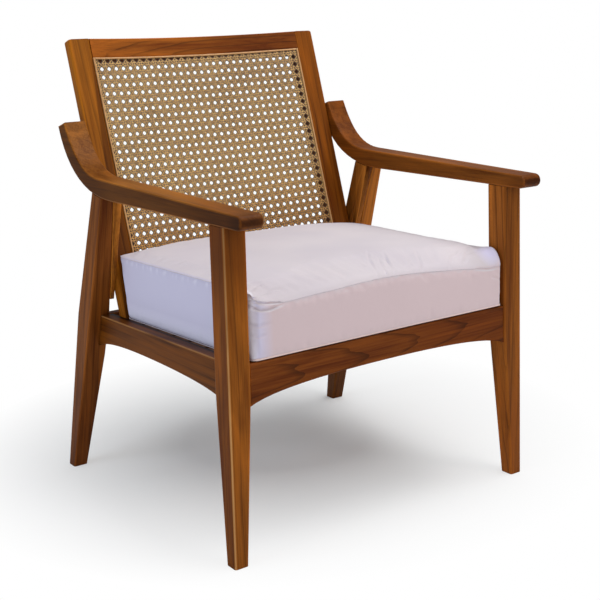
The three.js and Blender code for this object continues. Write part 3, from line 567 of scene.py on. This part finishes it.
deckFinish, steelFinish = deckMaterial(), steelMaterial()
splineFinish = reedMaterial("reed_spline", srgb(216, 168, 112), srgb(186, 132, 74))
for name in nodes:
    if name.startswith(("deck_slat", "seat_cleat", "corner_block", "packer_dowel", "horn_dowel")):
        dress(name, deckFinish)
    elif name.startswith(("stile_bolt", "cleat_screw")):
        dress(name, steelFinish)
    elif name.startswith("cane_spline"):
        dress(name, splineFinish)


# Packers between rear legs and stiles, as long as in the photograph: their lower ends follow the legs' rake
packer = {
    "drop": 33.5 * mm,
    "rake": 11 * mm,
    "inner": 284.3 * mm,  # the face on the stile stays where it is,
    "thinner": 0.86,  # and the other follows the leg, which widens downward
    "nearly": 0.1 * mm,
}


def longPacker(side, sign):
    source = nodes["rear_packer_" + side]
    block = bpy.data.objects.new("packer_" + side, source.data.copy())
    bpy.context.scene.collection.objects.link(block)
    editAll(block)
    bpy.ops.mesh.remove_doubles(threshold=0.01 * mm)
    leaveEdit()
    foot = min(v.co.z for v in block.data.vertices)
    editFaces(block, lambda centre, normal: centre.z < foot + packer["nearly"])
    bpy.ops.mesh.extrude_region_move(TRANSFORM_OT_translate={"value": (0, packer["rake"], -packer["drop"])})
    bpy.ops.transform.resize(value=(packer["thinner"], 1, 1), center_override=(sign * packer["inner"], 0, foot))
    leaveEdit()
    outward(block)
    smooth(block, angle=30)
    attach(block, "chair")
    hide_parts(source.name)
    print(block.name, [round(1000 * c, 1) for c in block.dimensions])


longPacker("left", -1)
longPacker("right", 1)


# Cane: six-way weave of pairs upright and level, with slanting strands over and under the pairs
cane = {
    "half": 235.8 * mm,
    "low": 106.8 * mm,
    "high": 546.3 * mm,
    "through": 2.0 * mm,
    "pitch": 16.12 * mm,
    "stretchUp": 1.0136,  # the weave is pulled a little longer than wide
    "turn": 0.65,  # and sits a little askew, in degrees
    "hole": (3.0 * mm, 333.4 * mm),  # a hole near the middle, across and up
    "pairHalf": 2.2 * mm,
    "width": 3.85 * mm,
    "slantWidth": 4.7 * mm,
    "thickness": 0.42 * mm,
    "edgeCut": 0.34,  # how much of a strand's width is bevelled away at each side
    "rampFrom": 0.28,  # a share of the pitch, at which a strand of a pair is half way through
    "slantFlat": 0.31,  # a share of half a repeat, over which a slanting strand stays in front
    "slantClear": 1.02,
    "bow": 14 * mm,
    "bowHalf": 240 * mm,
}
# painted shade for the bevelled edges of the strands
caneEdgeShade = reedMaterial("woven_cane_edge_shade", srgb(78, 54, 28), srgb(38, 24, 12))
caneFinish = reedMaterial("woven_cane", srgb(255, 207, 122), srgb(156, 108, 50))
splitFinish = reedMaterial("woven_cane_slant", srgb(246, 194, 110), srgb(130, 85, 36))


def strandRepeat(name, width, steps, start):
    # one repeat of a strand along z: a flat ribbon with bevelled edges in front, where y is lower
    deselectAll()
    bpy.ops.mesh.primitive_plane_add(size=1, location=(0, 0, 0))
    strand = bpy.context.object
    strand.name = name
    place(strand, (0, start[1], start[0]), scale=(width, cane["thickness"], 1))
    editWhere(strand, "VERT", lambda vert: vert.co.y < start[1])
    bpy.ops.mesh.bevel(affect="VERTICES", offset=width * cane["edgeCut"], offset_pct=0, segments=1)
    leaveEdit()
    editAll(strand)
    last = start
    for step in steps:
        move = (0, step[1] - last[1], step[0] - last[0])
        bpy.ops.mesh.extrude_region_move(TRANSFORM_OT_translate={"value": move})
        last = step
    leaveEdit()
    editFaces(strand, lambda centre, normal: abs(normal.z) > 0.9)  # the two ends, so that repeats join up
    bpy.ops.mesh.delete(type="ONLY_FACE")
    leaveEdit()
    strand.data.materials.append(caneFinish)
    strand.data.materials.append(caneEdgeShade)
    for face in strand.data.polygons:
        face.material_index = 1 if abs(face.normal.x) > 0.15 else 0  # painted shade on the edges of the strand
    return strand


def repeat(strand, step, count, merged=False):
    array = addModifier(strand, "ARRAY", use_relative_offset=False, use_constant_offset=True, count=count,
                        constant_offset_displace=step, use_merge_vertices=merged, merge_threshold=0.02 * mm)
    applyModifier(strand, array)


def trimTo(strand, low, high, axis):
    # cuts the field of strands off at both sides of the panel, and closes their ends
    for edge, keep in ((low, 1), (high, -1)):
        along = Vector([n == axis for n in range(3)])
        editAll(strand)
        bpy.ops.mesh.bisect(plane_co=along * edge, plane_no=along * -keep, clear_outer=True, use_fill=True)
        leaveEdit()


def joinPieces(name, pieces):
    deselectAll()
    for piece in pieces:
        piece.select_set(True)
    bpy.context.view_layer.objects.active = pieces[0]
    bpy.ops.object.join()
    pieces[0].name = name
    return pieces[0]


def pairField(name, count):
    # the two strands of each pair, over and under the crossing pair
    p, s, lift, ramp = cane["pitch"], cane["pairHalf"], 0.5 * cane["thickness"], cane["rampFrom"]
    fields = []
    for side in (-1, 1):
        rise = (side if name == "upright" else -side) * lift
        # the first step crosses to the other side, and the last one is where the next repeat starts
        steps = [(s, -rise), (ramp * p, 0), ((1 - ramp) * p, 0), (p - s, rise)]
        strand = strandRepeat(name, cane["width"], steps, (-s, rise))
        repeat(strand, (0, 0, p), count + 1, merged=True)
        place(strand, (side * s, 0, 0))
        fields.append(strand)
    return fields


def slantField(name, over):
    # strands at 45 degrees that pass in front of one kind of pair and behind the other
    half = cane["pitch"] / sqrt(2)
    flat = cane["slantFlat"] * half
    front = (-1 if over else 1) * cane["thickness"] * cane["slantClear"]  # in front is negative y
    behind = -front
    steps = [(flat, front), (half - flat, behind), (half + flat, behind), (2 * half - flat, front)]
    strand = strandRepeat(name, cane["slantWidth"], steps, (-flat, front))
    return strand, half


def caneFamilies():
    # the flat field lies round the hole at the origin, then it is stretched, turned and moved to its place
    p = cane["pitch"]
    columns = 2 * (int(cane["half"] / p) + 3)
    rows = 2 * (int((cane["high"] - cane["low"]) / (2 * p)) + 3)
    firstX, firstZ = -p * (columns + 1) / 2, -p * (rows + 1) / 2
    # upright pairs stand between the columns of holes
    uprights = pairField("upright", rows + 1)
    for strand in uprights:
        repeat(strand, (p, 0, 0), columns + 2)
    # level pairs lie between the rows: the same strands, turned on their side
    levels = pairField("level", columns + 1)
    for strand in levels:
        repeat(strand, (-p, 0, 0), rows + 2)
    families = [joinPieces("cane_uprights", uprights), joinPieces("cane_levels", levels)]
    place(families[1], turn=(0, 90, 0))
    for field in families:
        place(field, (firstX, 0, firstZ))
    # slanting strands, falling and rising, which pass an upright pair half way between two level ones
    for name, slope, over in (("cane_slants_rising", 1, True), ("cane_slants_falling", -1, False)):
        strand, half = slantField(name, over)
        repeat(strand, (0, 0, 2 * half), rows + 2, merged=True)
        place(strand, turn=(0, 45 * slope, 0))
        repeat(strand, (slope * p, 0, 0), columns + rows + 4)
        place(strand, (slope * (firstX - (rows + 2) * p), 0, firstZ - p / 2))
        strand.name = name
        families.append(strand)
    for field in families:
        place(field, (cane["hole"][0], 0, cane["hole"][1]), (0, -cane["turn"], 0), (1, 1, cane["stretchUp"]))
        trimTo(field, -cane["half"], cane["half"], 0)
        trimTo(field, cane["low"], cane["high"], 2)
        outward(field)
    return families


def bowAndLean(field):
    # bows the flat weave backwards between the stiles, then leans it with the back frame
    radius = (cane["bowHalf"] ** 2 + cane["bow"] ** 2) / (2 * cane["bow"])
    xs = [v.co.x for v in field.data.vertices]
    bend = addModifier(field, "SIMPLE_DEFORM", deform_method="BEND", deform_axis="Z",
                       angle=-(max(xs) - min(xs)) / radius)
    applyModifier(field, bend)
    place(field, (0, cane["bow"] + cane["through"], 0))
    place(field, backFrame["foot"], (-backFrame["lean"], 0, 0))


caneFields = caneFamilies()
for field in caneFields:
    bowAndLean(field)
    smooth(field, angle=50)
    field.data.materials[0] = splitFinish if "slants" in field.name else caneFinish
    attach(field, "chair")
    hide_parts("cane_panel")
    print(field.name, len(field.data.polygons), "faces")


# Cushion: a box cushion in cotton, blown up by simulation between its seams, with folds at its front
cushion = {
    "frontY": -287.6 * mm,
    "depth": 439 * mm,
    "halfFront": 276.6 * mm,
    "flare": 4.4 * mm,  # each side is wider by this at the rear
    "rearLean": 0.17,
    "rearReach": 1.05,  # of the depth, as the rear side leans out
    "seatFront": 345.5 * mm,
    "seatSlope": 0.02357,
    "lift": 0.6 * mm,
    "cornerRadius": (12 * mm, 4 * mm),  # left and right
    "edgeRadius": 2.5 * mm,
    "sharpEdge": 1.2,  # angle in radians between the faces
    "roundness": 4,  # segments in each of these
    "voxel": 5 * mm,
    "frames": 20,
    "mostMove": (0.9 * mm, 1.6 * mm, 5.0 * mm),
    "seamHold": 5 * mm,
    "fill": 0.85,
}
# the cloth is cut a little larger than the filling, and blown up without gravity
cloth = {
    "quality": 4,
    "mass": 0.3,
    "tension_stiffness": 12,
    "compression_stiffness": 12,
    "bending_stiffness": 0.5,
    "use_pressure": True,
    "uniform_pressure_force": 4.0,
    "shrink_min": -0.012,
}
seamTube = {
    "radius": 0.8 * mm,
    "welt": 1.8 * mm,  # the lower seam is thicker in front, and lies on the deck
    "thinner": 0.45,  # its share of that round the sides and the back
    "inset": 1.3,
    "step": 6 * mm,
    "searchOut": 4 * mm,
    "proud": 0.15 * mm,
}
# heights of the top in mm, over its width and depth as shares, as a grid
topAcross = (0.0, 0.087, 0.247, 0.516, 0.766, 0.945, 1.0)
topAlong = (0.0, 0.012, 0.035, 0.06, 0.12, 0.3, 0.6, 0.88, 1.0)
topHeights = (
    (111, 93, 94, 99, 89, 78, 78),
    (114, 97, 99, 104, 95, 86, 93),
    (117, 105, 107, 111, 104, 100, 107),
    (118, 110, 112, 115, 109, 105, 111),
    (118, 115, 117, 119, 115, 109, 107),
    (118, 120, 123, 124, 121, 112, 106.5),
    (118.5, 122, 126, 127, 123, 115, 109),
    (119, 123, 127, 127, 123, 114, 109),
    (119, 122, 126, 126, 121, 112, 106),
)
# how a fold is shaped: reach in half widths, bulge beside the crease, and shares of its length to fade over
foldShape = {"reach": 3.5, "bulge": 0.8, "spread": 1.4, "fade": 0.35, "startShare": 0.4, "startFade": 0.1,
             "frontBand": 20 * mm, "topBand": 140 * mm,  # how far back from the front folds are looked for
             "frontUpTo": 0.6, "topFrom": 0.2, "turnOver": 0.3}  # and how the cloth has to face there
# folds: points across and up on the front face, or across and back on the top, then half width and depth, in mm
frontFolds = (
    (((-277, 110), (-262, 103), (-240, 98)), 2.2, 2.6),
    (((-277, 101), (-250, 94), (-222, 90), (-190, 95)), 2.1, 2.4),
    (((-277, 92), (-258, 84), (-240, 82), (-208, 88)), 2.3, 3.0),
    (((-277, 62), (-262, 58), (-236, 60)), 3.2, 1.5),
    (((-277, 44), (-264, 41), (-246, 42)), 3.2, 1.2),
    (((212, 80), (240, 75), (276, 74)), 2.6, 1.2),
    (((250, 60), (266, 54), (276, 50)), 3.0, 1.2),
)
topFolds = (
    (((22, -286), (38, -245), (60, -204)), 2.1, 2.4),
    (((4, -286), (18, -252), (40, -214)), 2.0, 2.2),
    (((-16, -286), (8, -232), (50, -172)), 2.4, 1.5),
    (((84, -286), (104, -252), (130, -212)), 2.2, 2.2),
    (((60, -286), (78, -258), (92, -236)), 2.1, 1.6),
    (((188, -280), (214, -262), (262, -258)), 2.8, 2.4),
    (((200, -268), (230, -244), (270, -226)), 2.8, 2.0),
    (((150, -284), (176, -262), (224, -246)), 2.6, 1.8),
    (((-268, -282), (-228, -266), (-176, -260)), 3.0, 2.4),
    (((-268, -272), (-236, -246), (-206, -238)), 2.8, 1.8),
)


# cotton, and the tints that coloured light in the studio gives it: by the way a face looks, and near some corners
cotton = {
    "tone": (5, 2),
    "shaded": (0.35, srgb(206, 197, 204)),
    "plain": (0.65, srgb(216, 207, 211)),
    "front": srgb(215, 194, 197),
    "left": srgb(210, 204, 226),
    "leftLow": srgb(242, 237, 255),
    "byLeg": srgb(243, 240, 252),
    "ear": srgb(228, 223, 250),
    "leftFaces": (1, 0, -0.9, -0.3),
    "frontFaces": (1, 0, -0.95, -0.5),
    "notUpward": (1, 0, 0.15, 0.5),
    "cornerStrip": (1, 0, -0.262, -0.235),
    "lowStrip": (1, 0, 0.343, 0.375),
    "byLegFaces": (1, 0, -0.3, 0),
    "byLegStrip": (1, 0, -0.2745, -0.264),
    "earSpot": (0.262, -0.272, 0.45),
    "earMask": (1, 0, 0.008, 0.034),
    "threads": {"scale": 420, "distortion": 0.4, "detail": 1, "detailScale": 3},
    "threadHeight": 0.05,
    "crumple": (34, 4, 0.55, 0.6),
    "relief": (0.3, 0.0012),
    "roughness": (0.82, 0.92),
    "sheen": 0.12,
    "sheenRoughness": 0.5,
}
seamCotton = {
    "threads": (600, 2),
    "shaded": (0.35, srgb(199, 189, 198)),
    "plain": (0.65, srgb(214, 204, 209)),
    "peach": srgb(232, 208, 202),  # where the front rail lights the lower seam
    "frontStrip": (1, 0, -0.286, -0.28),
    "lowStrip": (1, 0, 0.352, 0.358),
    "roughness": (0.8, 0.92),
    "relief": (0.3, 0.0002),
}


def cottonMaterial():
    shader = Shader("white_cotton")
    base = shader.objectSpot()

    def mask(value, key):
        return shader.rescale(value, *cotton[key])

    def both(first, second):
        return shader.math("MULTIPLY", first, second)

    tone = shader.noise(base, *cotton["tone"])
    colour = shader.ramp(tone, [cotton["shaded"], cotton["plain"]])
    wayX, wayY, wayZ = shader.facing()
    x, y, z = shader.split(base)
    left = mask(wayX, "leftFaces")
    front = both(mask(wayY, "frontFaces"), mask(wayZ, "notUpward"))
    colour = shader.mix(front, colour, cotton["front"])
    corner = both(front, mask(x, "cornerStrip"))
    colour = shader.mix(shader.math("MAXIMUM", left, corner), colour, cotton["left"])
    above = shader.math("ADD", z, shader.math("MULTIPLY", y, cushion["seatSlope"]))
    colour = shader.mix(both(left, mask(above, "lowStrip")), colour, cotton["leftLow"])
    away = shader.length(shader.objectSpot(centre=cotton["earSpot"]))
    colour = shader.mix(mask(away, "earMask"), colour, cotton["ear"])
    colour = shader.mix(both(mask(wayY, "byLegFaces"), mask(x, "byLegStrip")), colour, cotton["byLeg"])
    shader.colour(colour)
    threads = [(shader.wave(base, direction=axis, **cotton["threads"]), cotton["threadHeight"]) for axis in "XYZ"]
    shader.bump(shader.weighted(*threads, (shader.noise(base, *cotton["crumple"]), 1)), *cotton["relief"])
    shader.rough(shader.rescale(tone, *cotton["roughness"]))
    shader.surface.inputs["Sheen Weight"].default_value = cotton["sheen"]
    shader.surface.inputs["Sheen Roughness"].default_value = cotton["sheenRoughness"]
    return shader.material


def seamMaterial():
    shader = Shader("cotton_seam")
    base = shader.objectSpot()
    threads = shader.noise(base, *seamCotton["threads"])
    x, y, z = shader.split(base)
    low = shader.math("MULTIPLY", shader.rescale(y, *seamCotton["frontStrip"]),
                      shader.rescale(z, *seamCotton["lowStrip"]))
    colour = shader.ramp(threads, [seamCotton["shaded"], seamCotton["plain"]])
    shader.colour(shader.mix(low, colour, seamCotton["peach"]))
    shader.rough(shader.rescale(threads, *seamCotton["roughness"]))
    shader.bump(threads, *seamCotton["relief"])
    return shader.material


def through(values, places, at):
    # a smooth curve through values at uneven places
    at = min(max(at, places[0]), places[-1])
    k = max(n for n in range(len(places) - 1) if places[n] <= at)

    def tangent(n):
        low, high = max(n - 1, 0), min(n + 1, len(places) - 1)
        return (values[high] - values[low]) / (places[high] - places[low])

    span = places[k + 1] - places[k]
    t = (at - places[k]) / span
    return (values[k] * (1 + 2 * t) * (1 - t) ** 2 + values[k + 1] * t * t * (3 - 2 * t)
            + span * t * (1 - t) * (tangent(k) * (1 - t) - tangent(k + 1) * t))


def topHeight(across, along):
    return through([through(row, topAcross, across) for row in topHeights], topAlong, along) * mm


def seatHeight(y):
    return cushion["seatFront"] - cushion["seatSlope"] * (y - cushion["frontY"]) + cushion["lift"]


def halfWidth(along):
    return cushion["halfFront"] + cushion["flare"] * along


def placeOn(across, along, up):
    # a point of the cushion from shares of its width, depth and height
    y = cushion["frontY"] + cushion["depth"] * along
    height = topHeight(across, along) * up
    return Vector(((2 * across - 1) * halfWidth(along), y + cushion["rearLean"] * height * along,
                   seatHeight(y) + height))


def cushionBlock():
    # a block of unit shares with rounded corners, cut fine, and moved into the cushion's shape
    deselectAll()
    bpy.ops.mesh.primitive_cube_add(size=1, location=(0, 0, 0))
    pad = bpy.context.object
    pad.name = "cushion_cover"
    width, depth = 2 * cushion["halfFront"], cushion["depth"]
    height = topHeights[0][0] * mm
    place(pad, (width / 2, depth / 2, height / 2), scale=(width, depth, height))
    leftCorner, rightCorner = cushion["cornerRadius"]
    middle = width / 2

    def rise(edge):
        return abs(edge.verts[0].co.z - edge.verts[1].co.z) / height

    def sharp(edge):
        return edge.calc_face_angle(0) > cushion["sharpEdge"]

    def bevelEdges(radius, test):
        editWhere(pad, "EDGE", test)
        bpy.ops.mesh.bevel(offset=radius, segments=cushion["roundness"], profile=0.5)
        leaveEdit()

    # the corners of the block, then the sharp edges round its top and bottom
    bevelEdges(leftCorner, lambda edge: rise(edge) > 0.9 and edge.verts[0].co.x < middle)
    bevelEdges(rightCorner, lambda edge: rise(edge) > 0.9 and edge.verts[0].co.x > middle)
    bevelEdges(cushion["edgeRadius"], lambda edge: rise(edge) < 0.01 and sharp(edge))
    remesh = addModifier(pad, "REMESH", mode="VOXEL", voxel_size=cushion["voxel"])
    applyModifier(pad, remesh)
    for vert in pad.data.vertices:
        shares = (vert.co.x / width, vert.co.y / depth, vert.co.z / height)
        vert.co = placeOn(*(min(max(share, 0), 1) for share in shares))
    return pad


def blowUp(pad):
    # the panels swell between seams that are held in place
    start = [v.co.copy() for v in pad.data.vertices]
    held = pad.vertex_groups.new(name="seams")
    for vert in pad.data.vertices:
        along = (vert.co.y - cushion["frontY"]) / cushion["depth"]
        across = 0.5 + 0.5 * vert.co.x / halfWidth(along)
        base = seatHeight(vert.co.y)
        top = base + topHeight(across, min(along, 1))
        inward = min(halfWidth(along) - abs(vert.co.x), vert.co.y - cushion["frontY"],
                     cushion["frontY"] + cushion["depth"] * cushion["rearReach"] - vert.co.y)
        onTopSeam = inward < 2 * cushion["seamHold"] and abs(vert.co.z - top) < cushion["seamHold"]
        if onTopSeam or vert.co.z - base < cushion["seamHold"]:
            held.add([vert.index], 1, "REPLACE")
    simulation = addModifier(pad, "CLOTH")
    settings = setAll(simulation.settings, cloth)
    settings.vertex_group_mass = held.name
    settings.effector_weights.gravity = 0
    simulation.collision_settings.use_collision = False
    scene = bpy.context.scene
    for number in range(1, cushion["frames"] + 1):
        scene.frame_set(number)
    applyModifier(pad, simulation)
    scene.frame_set(1)
    for vert, before in zip(pad.data.vertices, start):
        move = vert.co - before
        vert.co = before + Vector(max(-most, min(most, m)) for most, m in zip(cushion["mostMove"], move))
    pad.vertex_groups.clear()


def awayFrom(points, spot):
    # distance from a line of points, and how far along it, from 0 to 1
    best, total = (1e9, 0), sum((b - a).length for a, b in zip(points, points[1:]))
    passed = 0
    for a, b in zip(points, points[1:]):
        run = b - a
        t = min(max((spot - a).dot(run) / run.length_squared, 0), 1)
        gap = (spot - a - run * t).length
        if gap < best[0]:
            best = (gap, (passed + run.length * t) / total)
        passed += run.length
    return best


def pressFolds(pad, folds, onFront):
    # each fold is a crease with the cloth bulging beside it, and fades towards its end
    near = [(v.index, v.co.copy(), v.normal.copy()) for v in pad.data.vertices
            if v.co.y < cushion["frontY"] + foldShape["frontBand" if onFront else "topBand"]]
    moves = {}
    for points, half, depth in folds:
        line = [Vector(p) * mm for p in points]
        half, depth = half * mm, depth * mm
        reach = foldShape["reach"] * half
        lowX, highX = min(p.x for p in line) - reach, max(p.x for p in line) + reach
        for index, co, normal in near:
            if not lowX < co.x < highX:
                continue
            if onFront:
                spot = Vector((co.x, co.z - seatHeight(cushion["frontY"])))
                facing = foldShape["frontUpTo"] - normal.z if normal.y < foldShape["turnOver"] else 0
            else:
                spot = Vector((co.x, co.y))
                facing = normal.z - foldShape["topFrom"]
            share = min(max(facing / foldShape["turnOver"], 0), 1)
            if not share:
                continue
            gap, at = awayFrom(line, spot)
            if gap < reach:
                off = (gap / half) ** 2
                start = min(1, foldShape["startShare"] + at / foldShape["startFade"])
                fade = min(1, (1 - at) / foldShape["fade"]) * start
                push = depth * share * fade * (1 - foldShape["bulge"] * off) * exp(-off / foldShape["spread"])
                moves[index] = moves.get(index, Vector()) - normal * push
    for index, move in moves.items():
        pad.data.vertices[index].co += move
    pad.data.update()


def seamLine(pad, name, up):
    # a thin corded seam that follows the rim of the cover
    tree = BVHTree.FromObject(pad, bpy.context.evaluated_depsgraph_get())
    half, depth = cushion["halfFront"], cushion["depth"]
    rim = []
    for side, back, first in ((1, False, -90), (1, True, 0), (-1, True, 90), (-1, False, 180)):
        r = cushion["cornerRadius"][side > 0]
        centre = Vector((side * (half - r), depth - r if back else r))
        for angle in range(first, first + 91, 15):
            rim.append(centre + Vector((r * cos(radians(angle)), r * sin(radians(angle)))))
    dense = []
    for a, b in zip(rim, rim[1:] + rim[:1]):
        steps = max(1, round((b - a).length / seamTube["step"]))
        dense += [a + (b - a) * (k / steps) for k in range(steps)]
    curve = bpy.data.curves.new(name, "CURVE")
    curve.dimensions = "3D"
    thick = seamTube["radius"] if up else seamTube["welt"]
    curve.bevel_depth = thick
    curve.bevel_resolution = 2
    spline = curve.splines.new("POLY")
    spline.points.add(len(dense) - 1)
    spline.use_cyclic_u = True
    for point, spot in zip(spline.points, dense):
        across, along = 0.5 + 0.5 * spot.x / half, spot.y / depth
        wanted = placeOn(across, along, up)
        outside = (wanted - placeOn(0.5, 0.5, 0.5)).normalized()
        if up:
            found, normal = tree.find_nearest(wanted + outside * seamTube["searchOut"])[:2]
            point.co = (*(found + normal * seamTube["proud"]), 1)
        else:
            point.radius = 1 if spot.y < cushion["cornerRadius"][0] else seamTube["thinner"]
            inset = thick * point.radius
            point.co = (*(wanted - outside * seamTube["inset"] * inset + Vector((0, 0, inset))), 1)
    seam = bpy.data.objects.new(name, curve)
    bpy.context.scene.collection.objects.link(seam)
    only(seam)
    bpy.ops.object.convert(target="MESH")
    return bpy.context.object


def finishCotton(piece, finish):
    smooth(piece, angle=60)
    piece.data.materials.clear()
    piece.data.materials.append(finish)
    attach(piece, "cushion")


def makeCushion():
    pad = cushionBlock()
    blowUp(pad)
    applyModifier(pad, addModifier(pad, "SUBSURF", levels=1, render_levels=1))
    outward(pad)
    pressFolds(pad, frontFolds, True)
    pressFolds(pad, topFolds, False)
    thread = seamMaterial()
    for end, up in (("top", 1), ("bottom", 0)):
        seam = seamLine(pad, "cushion_seam_" + end, up)
        outward(seam)
        finishCotton(seam, thread)
    finishCotton(pad, cottonMaterial())
    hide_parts("seat_cushion")
    print("cushion", len(pad.data.polygons), "faces", [round(1000 * c, 1) for c in pad.dimensions])


makeCushion()


# Floor and backdrop: pale round the chair, with its soft shadow, and white further off
studio = {
    "floorTone": (0.93, 0.94, 0.935),
    "whiteRound": (0.08, 0.2, 0),
    "whiteFrom": 0.2,  # metres from there, where the white starts to take over
    "whiteBy": 0.7,
    "nearWhite": 0.05,
    "floorSize": 24,
    "floorDrop": 0.0005,
    "floorRoughness": 0.9,
    "world": 0.34,
    "worldTone": (0.95, 0.97, 1.0),
    "lampSize": (1.6, 1.6),
    "lampTarget": (0, 0, 0.4),
    "lamps": (  # name, place, power and colour
        ("window", (-2.6, 0.1, 1.3), 21, (0.74, 0.85, 1.0)),
        ("softbox", (0.9, -2.6, 1.6), 20, (1.0, 0.94, 0.91)),
        ("ceiling", (0.7, -0.5, 2.9), 47, (1, 1, 1)),
    ),
}


def addStage():
    deselectAll()
    bpy.ops.mesh.primitive_plane_add(size=studio["floorSize"], location=(0, 0, -studio["floorDrop"]))
    floor = bpy.context.object
    floor.name = "studio_floor"
    shader = Shader("studio_floor")
    path = shader.add("ShaderNodeLightPath")
    glow = shader.add("ShaderNodeEmission")
    shader.surface.inputs["Base Color"].default_value = (*studio["floorTone"], 1)
    shader.surface.inputs["Roughness"].default_value = studio["floorRoughness"]
    shader.surface.inputs["Specular IOR Level"].default_value = 0
    away = shader.length(shader.objectSpot(centre=studio["whiteRound"]))
    share = shader.rescale(away, studio["nearWhite"], 1, studio["whiteFrom"], studio["whiteBy"])
    blend = shader.add("ShaderNodeMixShader")
    shader.join(shader.math("MULTIPLY", path.outputs["Is Camera Ray"], share), blend.inputs[0])
    shader.join(shader.surface.outputs[0], blend.inputs[1])
    shader.join(glow.outputs[0], blend.inputs[2])
    shader.join(blend.outputs[0], shader.tree.nodes["Material Output"].inputs["Surface"])
    floor.data.materials.append(shader.material)


def addLamp(name, spot, power, colour):
    deselectAll()
    bpy.ops.object.light_add(type="AREA", location=spot)
    lamp = bpy.context.object
    lamp.name = name
    lamp.data.shape = "RECTANGLE"
    lamp.data.size, lamp.data.size_y = studio["lampSize"]
    lamp.data.energy = power
    lamp.data.color = colour
    aim = Vector(studio["lampTarget"]) - Vector(spot)
    lamp.rotation_euler = aim.to_track_quat("-Z", "Y").to_euler()


def addLight():
    world = bpy.data.worlds.new("studio")
    bpy.context.scene.world = world
    world.use_nodes = True
    tree = world.node_tree
    background = tree.nodes["Background"]
    background.inputs["Color"].default_value = (*studio["worldTone"], 1)
    background.inputs["Strength"].default_value = studio["world"]
    path = tree.nodes.new("ShaderNodeLightPath")
    white = tree.nodes.new("ShaderNodeBackground")
    white.inputs["Color"].default_value = (1, 1, 1, 1)
    blend = tree.nodes.new("ShaderNodeMixShader")
    tree.links.new(path.outputs["Is Camera Ray"], blend.inputs[0])
    tree.links.new(background.outputs[0], blend.inputs[1])
    tree.links.new(white.outputs[0], blend.inputs[2])
    tree.links.new(blend.outputs[0], tree.nodes["World Output"].inputs["Surface"])
    for lamp in studio["lamps"]:
        addLamp(*lamp)


addStage()
addLight()
print("floor and lamps set")
